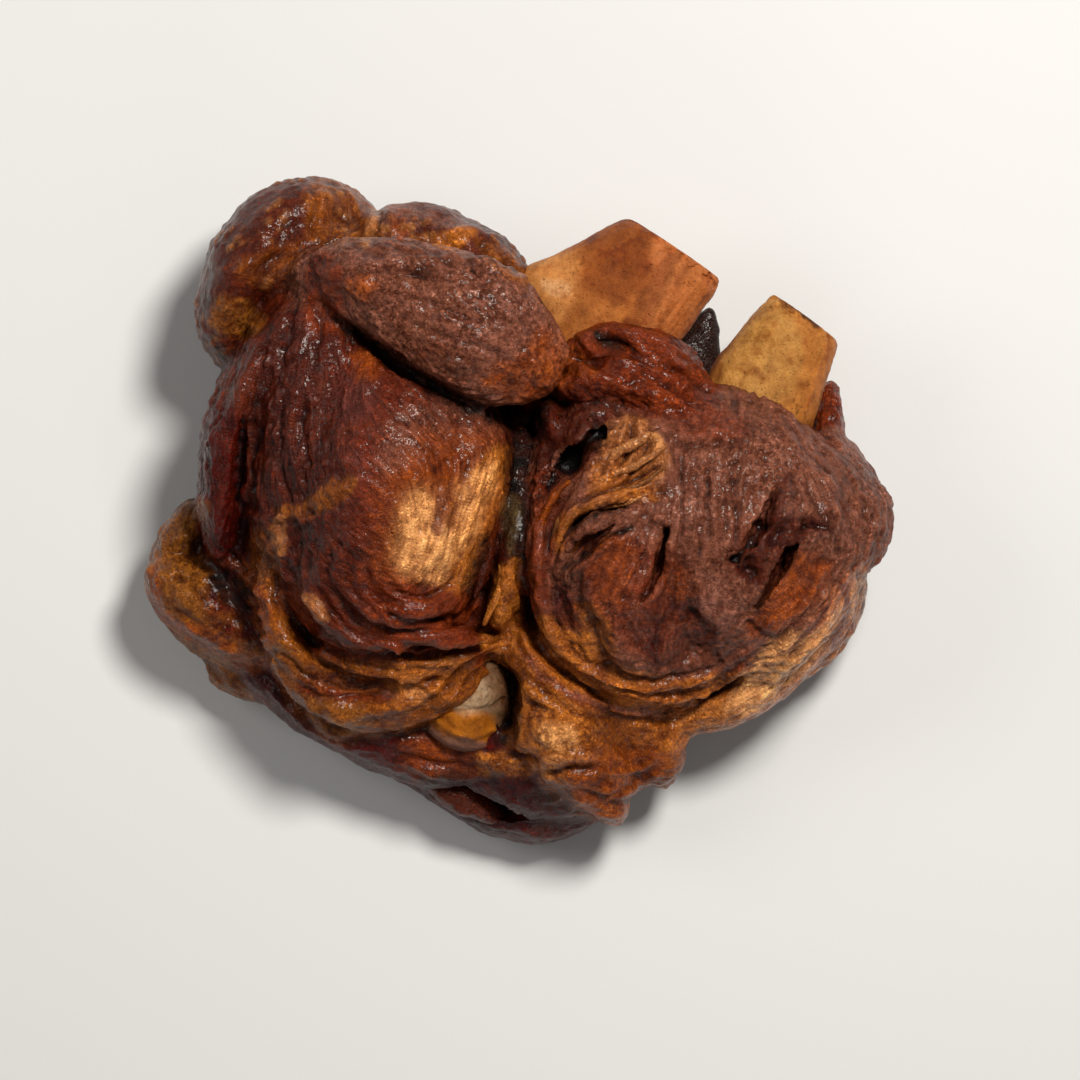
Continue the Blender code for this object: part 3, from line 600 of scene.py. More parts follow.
# Dents and knobs seen from above: place, radius, height (below zero for a dent)
KNOBS = [
    (23, 42.5, 2.4, -3.0), (27, 41.3, 1.6, -2.2), (20.5, 19.5, 1.6, -2.4), (15, 15.5, 1.2, -1.5),
    (27, 18, 0.9, -1.3), (24, 22, 1.0, -1.4), (30, 22.5, 0.8, -1.0), (35, 19, 1.2, 1.0),
    (35, 14, 1.4, 1.1), (60.5, -3, 1.2, -1.6), (63.5, -7.5, 1.6, -2.0), (66.5, -8.5, 1.2, -1.6),
    (59, -8, 1.4, -1.4), (62, -1, 1.2, 1.1), (66.5, -1, 1.4, 1.0), (68, -6, 1.2, 1.0),
    (53.5, -11, 1.4, -1.6), (57.5, -14.5, 2.0, -1.8), (44, -26, 1.6, -1.6), (48, -30, 1.2, -1.2),
    (-62.5, -6, 1.2, 1.2), (-59, -4, 1.0, 1.2), (-57.5, -9.5, 1.0, 1.1), (-52, -2, 1.0, 1.2),
    (-50, -1, 0.8, 1.0), (-64, -12, 1.4, 1.0), (-67, -16, 1.0, 1.3), (-65, -22, 1.0, 1.4),
    (-63, -25, 0.9, 1.2), (-62, -31, 0.9, 1.3), (-53.5, -48, 0.8, 1.4), (-60, -37, 1.0, 1.0),
    (-84, -15.5, 1.2, -1.1), (-86, -19, 1.0, -0.7), (-81, -14, 1.2, 0.8), (-80.5, -20, 1.2, 0.8),
    (65, -4.5, 2.2, -3.0), (72, -2.5, 2.0, -2.4), (76.5, -12.5, 1.8, -2.0), (70, 1, 1.4, -1.2),
    (84, 3, 1.0, -0.9), (87, 6, 0.8, -0.7), (91, -7, 1.2, -1.0), (21, 21, 2.6, -3.2),
    (13.5, 12.5, 3.0, -3.6), (9, 8, 2.4, -2.6), (26, 26, 1.6, -1.2), (36, 26, 2.0, 1.1),
    (33, 27, 1.2, -0.8), (-37, 56, 3.2, 1.3), (-37, 36, 4.0, 0.8), (-84, -16, 1.6, -0.9),
    (-83, -22, 3.5, 0.9), (-68, 49, 5.0, 1.4), (-64, 46.5, 2.0, 1.0), (-72, 60, 1.8, 0.8),
    (-66, 62, 1.4, 0.7), (-7.5, -61.5, 1.5, 1.4), (-4, -63.5, 1.8, 1.7), (-0.5, -62, 1.4, 1.3),
    (8, -65.5, 1.5, 1.5), (-5, -39.5, 2.0, 1.6), (3, -45, 2.6, 1.6), (5, -49, 2.0, -1.0),
    (10, -55, 3.5, 0.9), (-2, -52, 1.8, -1.6), (58, -31.5, 1.2, 0.6), (-7, -16, 1.8, 1.0),
    (0, -19, 2.2, 1.2), (-5, 63, 2.4, 1.8), (-1, 61, 2.0, 1.5), (-8, 66, 2.0, -1.6),
    (1.5, 57.5, 1.6, 1.2), (-60, -8, 1.6, 1.2), (-66, -18, 1.6, 1.2), (-64, -28, 1.6, 1.2),
    (-61, -33, 1.4, 1.1), (-54.5, -47.5, 1.2, 1.2), (-77, 3, 1.8, 1.0), (-74, 33, 2.0, 1.0),
    (-45, -48, 3.2, 0.9), (-28, -47, 3.0, 0.8), (-24, 61, 1.6, 0.6),
]


def tone(red, green, blue):
    """A colour given as it looks on screen, 0 to 255, as linear light."""
    share = np.array([red, green, blue]) / 255
    return np.where(share <= 0.04045, share / 12.92, ((share + 0.055) / 1.055) ** 2.4)


MAUVE = tone(116, 66, 48)
ROSE = tone(96, 34, 15)
PINK = tone(132, 80, 64)
BROWN = tone(88, 30, 10)
DARK_BROWN = tone(70, 20, 6)
RED_BROWN = tone(108, 39, 9)
DARK_RED = tone(70, 7, 1)
ORANGE_BROWN = tone(136, 60, 10)
AMBER = tone(172, 98, 32)
DARK_AMBER = tone(128, 66, 12)
OLIVE = tone(124, 70, 16)
CREAM = tone(232, 164, 100)
TAN = tone(172, 108, 58)
GREY_FAT = tone(84, 66, 36)
# painted shade: the near-black laid in crevices, dents, slits and cavities
PAINTED_SHADE_BLACK = tone(10, 4, 2)
PURPLE = tone(88, 44, 40)
PINK_FAT = tone(184, 112, 74)
TORN = tone(120, 70, 30)
RIND = tone(82, 26, 5)
FILM = tone(34, 12, 5)
FAT_GRAIN = tone(150, 92, 42)

BASE_TONES = {
    "skin": DARK_RED, "left_muscle": BROWN, "flap": MAUVE, "rind_roll": RIND, "knob": OLIVE,
    "shelf": DARK_AMBER, "swirl": RED_BROWN, "bottom_rind": DARK_RED, "bottom_fat": DARK_AMBER,
    "right_muscle": MAUVE, "skin_flaps": RED_BROWN, "fat_band": TAN, "valley": DARK_BROWN,
}

# Patches seen from above, painted in this order: colour, strength, softness of the edge, lowest height,
# then the outline. Most are tissues; the black ones and some dark lines along creases are painted shade,
# and a few pale ones are painted highlights.
PATCHES = [
    (DARK_BROWN, 0.85, 4, 30, [(-62, 50), (-48, 50), (-40, 44), (-40, 30), (-46, 12), (-46, -4),
                               (-52, -24), (-61, -20), (-67, 0), (-66, 28)]),
    (ROSE, 0.8, 5, 40, [(-44, 36), (-32, 38), (-12, 28), (-2, 20), (-10, 12), (-24, 10), (-30, -4),
                         (-42, -8), (-42, 14)]),
    (MAUVE, 0.7, 4, 40, [(-30, 24), (-14, 28), (-2, 22), (-8, 14), (-22, 14), (-32, 8)]),
    (ORANGE_BROWN, 0.7, 7, 40, [(-32, 8), (-22, 14), (-8, 20), (-2, 12), (-6, -4), (-12, -20), (-22, -23),
                                (-34, -16), (-34, -4)]),
    (TAN, 0.85, 4, 40, [(-28, 3), (-22, 7), (-12, 9), (-5, 16), (-3, 8), (-8, -4), (-12, -18), (-20, -19),
                        (-30, -13)]),
    (CREAM, 0.95, 3, 40, [(-26, 3), (-21, 4), (-18, -2), (-14, -7), (-13, -16), (-20, -17), (-28, -12),
                          (-27, -4)]),
    (CREAM, 0.6, 1.5, 40, [(-22, -6), (-16, -8), (-15, -13), (-19, -15), (-23, -11)]),
    (AMBER, 0.85, 1.5, 40, [(-2, 17), (-2, 6), (-7, -6), (-13, -19), (-17, -18), (-14, -6), (-10, 2),
                            (-9, 11)]),
    (CREAM, 0.45, 2, 40, [(-10, 10), (-4, 12), (-6, 2), (-12, -10), (-16, -12), (-14, 0)]),
    (ORANGE_BROWN, 0.6, 1.5, 40, [(-19, 10), (-15, 11), (-15, 2), (-18, -6), (-20, -2)]),
    (MAUVE, 0.55, 1.5, 40, [(-19, 5), (-16, 6), (-16, -4), (-18.5, -7), (-20, -3)]),
    (DARK_AMBER, 0.9, 1.5, 40, [(-60, 1), (-52, 3), (-44, 9), (-39, 9), (-40, 4), (-48, 0), (-55, -2)]),
    (TAN, 0.7, 1, 35, [(-60, -2), (-57, -1), (-56, -8), (-58, -11), (-60, -8)]),
    (DARK_AMBER, 0.6, 2, 30, [(-66, -5), (-60, -4), (-58, -14), (-60, -20), (-65, -14)]),
    (ORANGE_BROWN, 0.8, 1.5, 30, [(-71, -12), (-66, -14), (-60, -24), (-58, -32), (-62, -34), (-66, -24)]),
    (ORANGE_BROWN, 0.65, 2.5, 40, [(-40, 40), (-34, 40), (-33, 34), (-38, 32)]),
    (RED_BROWN, 0.8, 4, 30, [(-50, -10), (-34, -16), (-16, -18), (-2, -26), (-8, -38), (-30, -42),
                             (-48, -36), (-56, -24)]),
    (DARK_BROWN, 0.6, 3, 30, [(-52, -10), (-40, -14), (-36, -22), (-40, -30), (-50, -28)]),
    (DARK_AMBER, 0.85, 3, 26, [(-61, -26), (-52, -34), (-40, -37), (-24, -36), (-10, -34), (-14, -44),
                               (-22, -52), (-36, -56), (-45, -57), (-55, -50), (-60, -40)]),
    (AMBER, 0.6, 2.5, 26, [(-30, -38), (-20, -36), (-12, -36), (-16, -44), (-26, -50), (-31, -46)]),
    (OLIVE, 0.8, 2.5, 26, [(-52, -44), (-44, -46), (-38, -48), (-38, -54), (-46, -56), (-53, -50)]),
    (RED_BROWN, 0.5, 1.5, 26, [(-52, -41), (-42, -43), (-30, -43), (-31, -45.5), (-43, -46), (-53, -43)]),
    (ORANGE_BROWN, 0.7, 3, 50, [(2, 40), (8, 46), (14, 36), (12, 28), (4, 26), (-4, 30), (-8, 34)]),
    (PINK, 0.5, 4, 55, [(-12, 52), (-4, 56), (4, 48), (0, 38), (-12, 40), (-18, 46)]),
    (RED_BROWN, 0.85, 2.5, 35, [(-50, 64), (-43, 62), (-42, 54), (-42, 47), (-50, 45), (-52, 54)]),
    (ORANGE_BROWN, 0.7, 1.5, 50, [(-41, 58), (-37, 59), (-34, 56), (-36, 53), (-40, 53)]),
    (DARK_AMBER, 0.75, 2, 20, [(-50, 84), (-38, 84), (-35, 74), (-38, 68), (-50, 67), (-52, 76)]),
    (TAN, 0.75, 0.9, 20, [(-35.5, 78), (-33, 77), (-34, 70), (-35.5, 66), (-38, 67), (-36.5, 72)]),
    (MAUVE, 0.7, 2, 20, [(-33, 78), (-26, 77), (-12, 73), (-14, 70), (-22, 72), (-28, 68), (-32, 70)]),
    (ORANGE_BROWN, 0.7, 1.5, 20, [(-31, 77), (-27, 76), (-27, 70), (-30, 68)]),
    (AMBER, 0.7, 1.2, 20, [(-22, 68), (-16, 71), (-9, 71), (-12, 67), (-16, 65)]),
    (DARK_AMBER, 0.8, 2, 20, [(-10, 68), (-2, 66), (4, 60), (2, 56), (-4, 60)]),
    (OLIVE, 0.8, 2, 15, [(-74, 54), (-66, 53), (-62, 48), (-65, 44), (-72, 45), (-76, 49)]),
    (DARK_AMBER, 0.5, 3, 15, [(-70, 62), (-60, 66), (-52, 68), (-56, 60), (-64, 57)]),
    (BROWN, 0.8, 1.5, 10, [(-76, 36), (-71, 36), (-70, 28), (-72, 25), (-76, 30)]),
    (DARK_RED, 0.85, 3, 10, [(-80, 22), (-70, 28), (-67, 10), (-68, -8), (-74, -12), (-80, -2)]),
    (OLIVE, 0.7, 1.5, 10, [(-80, 3), (-76.5, 3), (-77, -2), (-80, -1)]),
    (OLIVE, 0.8, 3, 5, [(-87, -10), (-80, -10), (-76, -16), (-76, -24), (-82, -28), (-88, -22)]),
    (ORANGE_BROWN, 0.75, 2, 5, [(-90, -12), (-88, -24), (-78, -28), (-66, -34), (-62, -38), (-66, -40),
                                (-80, -33), (-90, -27), (-93, -18)]),
    (DARK_RED, 0.8, 3, 5, [(-76, -16), (-68, -20), (-64, -32), (-72, -31), (-78, -24)]),
    (ORANGE_BROWN, 0.5, 2, 8, [(-28, -56), (-12, -58), (-6, -62), (-12, -68), (-26, -66)]),
    (AMBER, 0.6, 3, 15, [(0, -42), (8, -44), (18, -50), (20, -58), (10, -60), (2, -58), (-1, -50)]),
    (CREAM, 0.5, 2, 15, [(7, -52), (14, -53), (16, -58), (10, -59), (6, -56)]),
    (TAN, 0.85, 1, 15, [(5, -62.5), (10, -60), (19, -60), (21, -61.5), (14, -63), (7, -64)]),
    (TAN, 0.7, 0.8, 10, [(6.5, -65), (9.5, -64.5), (9.5, -67), (7, -67)]),
    (AMBER, 0.8, 1.2, 10, [(-9, -60), (1, -61), (2, -64), (-3, -67), (-9, -64)]),
    (ORANGE_BROWN, 0.6, 4, 10, [(14, -62), (28, -58), (40, -60), (36, -70), (28, -80), (18, -78)]),
    (RED_BROWN, 0.65, 5, 30, [(18, -6), (36, -8), (44, -18), (40, -36), (26, -34), (18, -22)]),
    (DARK_BROWN, 0.8, 4, 30, [(8, 30), (24, 33), (26, 24), (20, 12), (8, 6), (4, 14)]),
    (RED_BROWN, 0.75, 3, 25, [(4, 10), (11, 12), (12, 0), (9, -14), (6, -20), (2, -14), (4, 0)]),
    (TAN, 0.75, 2.5, 40, [(24, 22), (31, 24), (38, 14), (36, 8), (28, 6), (22, 8), (21, 14)]),
    (AMBER, 0.5, 2, 40, [(20, 12), (30, 12), (36, 6), (26, 4), (18, 3)]),
    (AMBER, 0.7, 1.5, 40, [(11, -10), (14, -3), (20, 1), (30, 3), (34, 6), (26, 4), (16, 2), (10, -3)]),
    (RED_BROWN, 0.6, 3, 38, [(12, 33), (30, 36), (50, 28), (58, 20), (46, 18), (34, 26), (20, 32)]),
    (PINK, 0.55, 4, 45, [(62, 4), (70, 2), (76, -6), (70, -8), (62, -4)]),
    (PINK, 0.45, 4, 40, [(42, -14), (50, -16), (56, -26), (50, -32), (44, -26)]),
    (PINK, 0.35, 5, 45, [(38, 12), (50, 12), (48, -4), (40, -6)]),
    (DARK_BROWN, 0.75, 2.5, 35, [(60, -4), (68, 0), (72, -4), (66, -12), (58, -12)]),
    (DARK_BROWN, 0.7, 1.5, 35, [(66, 9), (69, 8), (64, -6), (61, -4)]),
    (ORANGE_BROWN, 0.8, 2.5, 30, [(69, -10), (78, -12), (76, -20), (64, -30), (58, -28), (62, -22)]),
    (DARK_AMBER, 0.8, 1.5, 30, [(12, -24), (20, -22), (25, -31), (24, -37), (15, -34)]),
    (DARK_BROWN, 0.35, 3, 30, [(32, -24), (44, -22), (50, -34), (42, -40), (32, -36)]),
    (RED_BROWN, 0.8, 3, 25, [(1, -14), (7, -14), (10, -26), (18, -36), (32, -42), (50, -40), (60, -34),
                            (50, -46), (34, -50), (18, -48), (6, -40), (0, -28)]),
    (ORANGE_BROWN, 0.75, 3, 25, [(14, -38), (20, -44), (28, -43), (44, -43), (56, -38), (52, -44),
                                 (38, -49), (26, -47)]),
    (AMBER, 0.8, 2, 15, [(33, -56), (42, -51), (52, -46), (58, -44), (60, -48), (50, -56), (38, -59)]),
    (PINK_FAT, 0.95, 3, 12, [(55, -48), (62, -38), (74, -26), (84, -12), (89, -16), (84, -30), (74, -42),
                             (62, -52)]),
    (CREAM, 0.7, 3, 15, [(54, -44), (60, -37), (68, -29), (73, -33), (70, -40), (64, -47), (58, -50)]),
    (PURPLE, 0.75, 1.2, 15, [(66, -38), (70, -32), (76, -24), (79, -23), (73, -31), (68, -42)]),
    (PURPLE, 0.5, 1.2, 15, [(61, -40), (64, -37), (66, -41), (63, -43)]),
    (CREAM, 0.6, 2, 12, [(52, -48), (62, -40), (72, -32), (82, -21), (88, -14), (88, -20), (80, -32),
                         (70, -42), (58, -51)]),
    (BROWN, 0.35, 1.5, 15, [(82, -24), (87, -15), (90, -14), (90, -20), (84, -32), (78, -38), (76, -37)]),
    (RED_BROWN, 0.8, 1, 8, [(80, -16), (82, -16), (84, -26), (80, -34), (79, -30), (82, -24)]),
    # painted shade in a dent and crease
    (PAINTED_SHADE_BLACK, 0.9, 1.5, 20, [(20, 44.5), (24, 44.6), (28, 42), (27, 40), (22, 41)]),
    (ORANGE_BROWN, 0.75, 1.5, 20, [(13, 42), (17, 41), (20, 35), (18, 33.5), (14, 36)]),
    # the next two: painted shade in dents
    (PAINTED_SHADE_BLACK, 0.9, 1.5, 30, [(18, 21), (22, 21), (23, 18), (18, 15.5), (16, 17)]),
    (PAINTED_SHADE_BLACK, 0.85, 1.5, 30, [(9, 13.5), (14, 14.5), (18, 12.5), (14, 10.5), (10, 10.5)]),
    # painted shade: a dark line along a slit
    (DARK_BROWN, 0.8, 1.0, 40, [(36, 12), (30, 9), (24, 6), (18, 4), (18, 3), (24, 4.8), (30, 7.6),
                                (36, 10.5)]),
    # the next two: painted shade in slits
    (PAINTED_SHADE_BLACK, 0.85, 0.9, 40, [(28, 2.4), (22, 1.4), (17, -0.8), (14, -4), (15, -4.6), (18, -2.4), (23, -0.4),
                            (28, 0.8)]),
    (PAINTED_SHADE_BLACK, 0.85, 0.9, 40, [(29, -2.6), (24, -4.4), (19, -7.6), (15, -11), (12, -13.6), (13, -14.6),
                            (17, -11.8), (21, -8), (25, -6), (29, -4)]),
    # painted highlight: a bright spot on the torn fan, with the cream spot in it
    (TAN, 0.7, 1.2, 40, [(31, 19), (36, 19), (38, 14), (35, 12), (32, 14)]),
    (CREAM, 0.45, 1.0, 40, [(33, 20), (35.5, 19), (36, 17), (33.5, 17)]),
    (AMBER, 0.7, 1.5, 40, [(22, 8), (28, 9), (33, 6), (36, 4), (30, 3), (24, 4.5), (20, 6)]),
    (DARK_RED, 0.7, 2, 30, [(10, -18), (15, -19), (16, -26), (20, -34), (14, -36), (10, -30)]),
    (AMBER, 0.75, 1.8, 30, [(14, -29), (21, -30), (24, -35), (18, -36), (14, -33)]),
    (ORANGE_BROWN, 0.6, 3, 38, [(20, -8), (29, -6), (30, -14), (27, -22), (21, -22), (19, -14)]),
    (ORANGE_BROWN, 0.5, 2, 38, [(38, -12), (44, -14), (48, -18), (42, -22), (37, -18)]),
    # the next two: painted shade along creases
    (DARK_BROWN, 0.7, 1.5, 38, [(41, -22), (45, -23), (51, -31), (47, -33), (42, -27)]),
    (DARK_BROWN, 0.75, 1.5, 38, [(35, -27), (37.5, -26), (37, -34), (35, -38), (33, -34)]),
    (PINK, 0.6, 2, 38, [(46, -16), (52, -18), (55, -25), (50, -28), (46, -22)]),
    # the next two: painted shade along creases
    (DARK_BROWN, 0.8, 1.2, 38, [(52, -9.5), (56, -11), (61, -11), (62, -17), (58, -17), (54, -13)]),
    (DARK_BROWN, 0.8, 1.2, 38, [(71, -1.5), (76, -2), (78, -4), (74, -4.6), (70, -6)]),
    # painted shade in a groove
    (PAINTED_SHADE_BLACK, 0.7, 1.2, 38, [(69, -9), (66, -13), (61, -20), (59, -24), (61, -24), (65, -17), (69, -12)]),
    (RED_BROWN, 0.85, 1.2, 26, [(-53, -42.6), (-44, -44.6), (-36, -45.6), (-31, -45), (-31, -46.4),
                                (-40, -47), (-48, -46.2), (-54, -44.6)]),
    # painted shade along a crease
    (DARK_RED, 0.7, 1.5, 26, [(-50, -39), (-42, -41), (-34, -41), (-34, -42.4), (-43, -42.8), (-51, -41)]),
    (AMBER, 0.6, 1.5, 26, [(-29, -43), (-24, -42), (-20, -47), (-25, -49), (-29, -47)]),
    (CREAM, 0.35, 2, 26, [(-26, -43), (-22, -44), (-22, -47), (-26, -47)]),
    (OLIVE, 0.6, 1.5, 26, [(-60, -32), (-56, -34), (-54, -39), (-57, -40), (-60, -36)]),
    (DARK_BROWN, 0.7, 2, 30, [(-48, -27), (-40, -30), (-32, -31), (-34, -34), (-44, -33), (-50, -31)]),
    # painted highlight along a wet ridge
    (TAN, 0.6, 1.2, 35, [(-53, -20), (-49, -21), (-46, -25), (-48, -27), (-52, -23)]),
    (CREAM, 0.7, 1.2, 40, [(-25, 4.5), (-21, 4.5), (-20.5, 1), (-24, -0.5)]),
    (ORANGE_BROWN, 0.5, 4, 40, [(-27, 18), (-20, 21), (-12, 20), (-12, 15), (-22, 13), (-27, 14)]),
    (PURPLE, 0.5, 2.5, 40, [(-42, 32), (-36, 33), (-34, 26), (-40, 22), (-44, 26)]),
    (PINK, 0.5, 2.5, 50, [(-40, 63), (-30, 64), (-28, 61), (-38, 60)]),
    # painted shade in the crevice under the flap
    (PAINTED_SHADE_BLACK, 0.8, 2.5, 20, [(-46, 49), (-38, 46), (-28, 38), (-16, 31), (-2, 25), (-4, 22), (-20, 28),
                           (-32, 37), (-42, 45)]),
    # painted shade in the valley between the muscles
    (PAINTED_SHADE_BLACK, 0.8, 2.5, 15, [(0, 24), (10, 29), (6, 18), (3, 4), (3, -10), (0, -16), (-1, -6), (-2, 10)]),
    (GREY_FAT, 0.7, 1.5, 30, [(-3, 4), (1, 3), (1, -6), (-1, -10), (-3, -4)]),
    (AMBER, 0.8, 2, 30, [(-4, -14), (1, -12), (2, -24), (0, -34), (-8, -34), (-8, -27), (-6, -20)]),
    # painted shade in a gap between strands
    (PAINTED_SHADE_BLACK, 0.7, 2, 20, [(-9, -8), (-6, -4), (-7, -16), (-11, -22), (-12, -17)]),
    # painted shade in the cavity at the bottom
    (PAINTED_SHADE_BLACK, 0.75, 5, 0, [(-22, -66), (-8, -64), (4, -67), (10, -72), (6, -80), (-10, -80), (-22, -74)]),
    (DARK_RED, 0.5, 3, 0, [(-14, -67), (2, -65), (10, -68), (16, -74), (10, -82), (-14, -77), (-22, -72)]),
    # painted shade in a crevice
    (PAINTED_SHADE_BLACK, 0.8, 3, 5, [(-74, -13), (-67, -16), (-66, -25), (-72, -23), (-77, -17)]),
    # painted shade in the crevice beside the joint end
    (PAINTED_SHADE_BLACK, 0.7, 2, 20, [(-4, -40), (1, -42), (1, -56), (-4, -58), (-6, -48)]),
    (ORANGE_BROWN, 0.75, 2, 25, [(5, -30), (10, -36), (20, -41), (34, -43), (46, -41), (48, -44), (34, -47),
                                 (18, -46), (7, -40), (3, -33)]),
    (AMBER, 0.7, 2, 25, [(2, -29), (8, -25), (12, -28), (18, -33), (26, -38), (39, -41), (50, -40),
                         (55, -40), (54, -44.5), (42, -49), (23, -48), (7, -39)]),
    (DARK_BROWN, 0.65, 3, 38, [(55, -6), (60, -1), (65, -1), (71, -4), (69, -12), (62, -19), (57, -17),
                               (54, -12)]),
    # painted highlight along a wet fold
    (PINK, 0.6, 0.8, 25, [(4, -35), (8, -40), (16, -44.6), (26, -48.4), (36, -50), (36, -51), (26, -49.6),
                          (15, -46), (7, -41.5), (3, -36)]),
]


TISSUE_GRAIN = (32, 26)


def bend(path, count=24):
    """The path, seen from above, as a smooth line of count points."""
    return smooth_path(path, np.linspace(0, 1, count))


def near_line(flat, line):
    """Each point's distance from the line, and its share of the way along it."""
    nearest = np.full(len(flat), 1e9)
    place = np.zeros(len(flat))
    spans = len(line) - 1
    for index in range(spans):
        start, run = line[index], line[index + 1] - line[index]
        t = np.clip((flat - start) @ run / max(run @ run, 1e-9), 0, 1)
        gap = np.linalg.norm(flat - start - t[:, None] * run, axis=1)
        closer = gap < nearest
        nearest[closer] = gap[closer]
        place[closer] = (index + t[closer]) / spans
    return nearest, place


def around(flat, low, high, margin):
    """Indices of the points within margin of a box."""
    inside = np.all((flat > np.array(low) - margin) & (flat < np.array(high) + margin), axis=1)
    return np.flatnonzero(inside)


def patch(flat, outline, soft):
    """1 inside the closed outline, falling smoothly to 0 over soft millimetres round its edge."""
    ring = list(outline[-2:]) + list(outline) + list(outline[:3])
    spans = len(ring) - 1
    line = smooth_path(ring, np.linspace(2 / spans, (spans - 2) / spans, len(outline) * 4 + 1))
    near = around(flat, line.min(axis=0), line.max(axis=0), soft)
    some = flat[near]
    gap, _ = near_line(some, line)
    inside = np.zeros(len(some), bool)
    for a, b in zip(line[:-1], line[1:]):
        crosses = (a[1] > some[:, 1]) != (b[1] > some[:, 1])
        rise = b[1] - a[1] if b[1] != a[1] else 1e-9
        inside ^= crosses & (some[:, 0] < a[0] + (some[:, 1] - a[1]) * (b[0] - a[0]) / rise)
    mask = np.zeros(len(flat))
    mask[near] = step(np.where(inside, gap, -gap), -soft / 2, soft / 2)
    return mask


def flow(skin):
    """The direction in which the fibres run at each point, along the skin."""
    angle = np.arctan2(STROKES[:, 3], STROKES[:, 2])
    total = np.zeros((len(skin.points), 2))
    for (x, y, _, _), turn in zip(STROKES, angle):
        away = ((skin.points[:, :2] - (x, y)) ** 2).sum(axis=1)
        weight = np.exp(-away / (2 * STROKE_REACH**2)) + 1e-6
        total += weight[:, None] * (math.cos(2 * turn), math.sin(2 * turn))
    turn = np.arctan2(total[:, 1], total[:, 0]) / 2
    turn += STROKE_WAVER * noise(skin.points, STROKE_WAVER_SIZE, 5)
    ways = np.stack([np.cos(turn), np.sin(turn), np.zeros(len(turn))], axis=1)
    ways -= skin.normals * np.einsum("ij,ij->i", ways, skin.normals)[:, None]
    return unit(ways, 1e-3)


def streaks(points, ways, size, reach, seed):
    """Noise drawn out along the fibres."""
    shares = np.linspace(-1, 1, 7)
    return sum(noise(points + ways * reach * s, size, seed) for s in shares) / 3.2


def tissue_weights(skin):
    """For each tissue, how much each point belongs to it, 0 to 1, and each point's nearest tissue."""
    places, kinds = [], []
    for index, name in enumerate(NAMES):
        for stations in TISSUES[name]:
            points, _ = lobe(stations, TISSUE_GRAIN)
            places.append(points)
            kinds += [index] * len(points)
    places = np.concatenate(places)
    tree = KDTree(len(places))
    for index, place in enumerate(places):
        tree.insert(place, index)
    tree.balance()
    nearest = np.array([kinds[tree.find(point)[1]] for point in skin.points])
    return {name: skin.spread(nearest == index, 6) for index, name in enumerate(NAMES)}, nearest


# Relief, in millimetres: the size of each kind of lump and its height, and how far a fibre runs
SWELL_SIZE, SWELL_HEIGHT = 15, 1.0
LUMP_SIZE, LUMP_HEIGHT = 7, 0.55
FIBRE_SIZE, FIBRE_REACH, FIBRE_HEIGHT = 1.9, 2.4, 0.75
BUNDLE_SIZE, BUNDLE_REACH, BUNDLE_HEIGHT = 3.6, 4.5, 0.45
GRAIN_SIZE, GRAIN_HEIGHT, CRUST_HEIGHT = 2.0, 0.12, 0.38
CRUST_PATCH = 14
PIT_SIZE, PIT_DEPTH = 2.4, 0.7
FAT_FIBRE_HEIGHT, FAT_BUNDLE_HEIGHT = 0.4, 0.35
FAT_LUMP_SIZE, FAT_LUMP_HEIGHT = 4, 0.35
RIPPLE_HEIGHT = 0.5
# Ripples run round a centre: the centre, what lengths across and up are multiplied by, the spacing
SWIRL = (-24, -15), (1 / 1.45, 1), 3.1
BANDS = (36, -6), (1, 0.95), 3.4
GRANULE_SIZE, GRANULE_HEIGHT, GRANULE_PATCH = 2.9, 0.5, 9
RIND_SIZE, RIND_HEIGHT = 5, 0.35
WRINKLE_SIZE, WRINKLE_REACH, WRINKLE_HEIGHT = 2.6, 3.5, 0.35
FLOOR_ZONE = (0.4, 5.0)
SWIRL_OUTLINE = [(-52, -8), (-30, -14), (-6, -20), (0, -34), (-14, -44), (-34, -46), (-52, -38)]
BAND_OUTLINE = [(-1, -14), (8, -16), (14, -30), (28, -38), (46, -38), (60, -34), (62, -38),
                (48, -50), (28, -54), (8, -46), (0, -32)]


def ripples(flat, centre, stretch, spacing, waver):
    """Waves in rings round the centre, -1 to 1; stretch multiplies lengths across and up."""
    off = (flat - centre) * stretch
    turn = np.hypot(off[:, 0], off[:, 1]) + waver
    return np.sin(turn * (2 * math.pi / spacing))


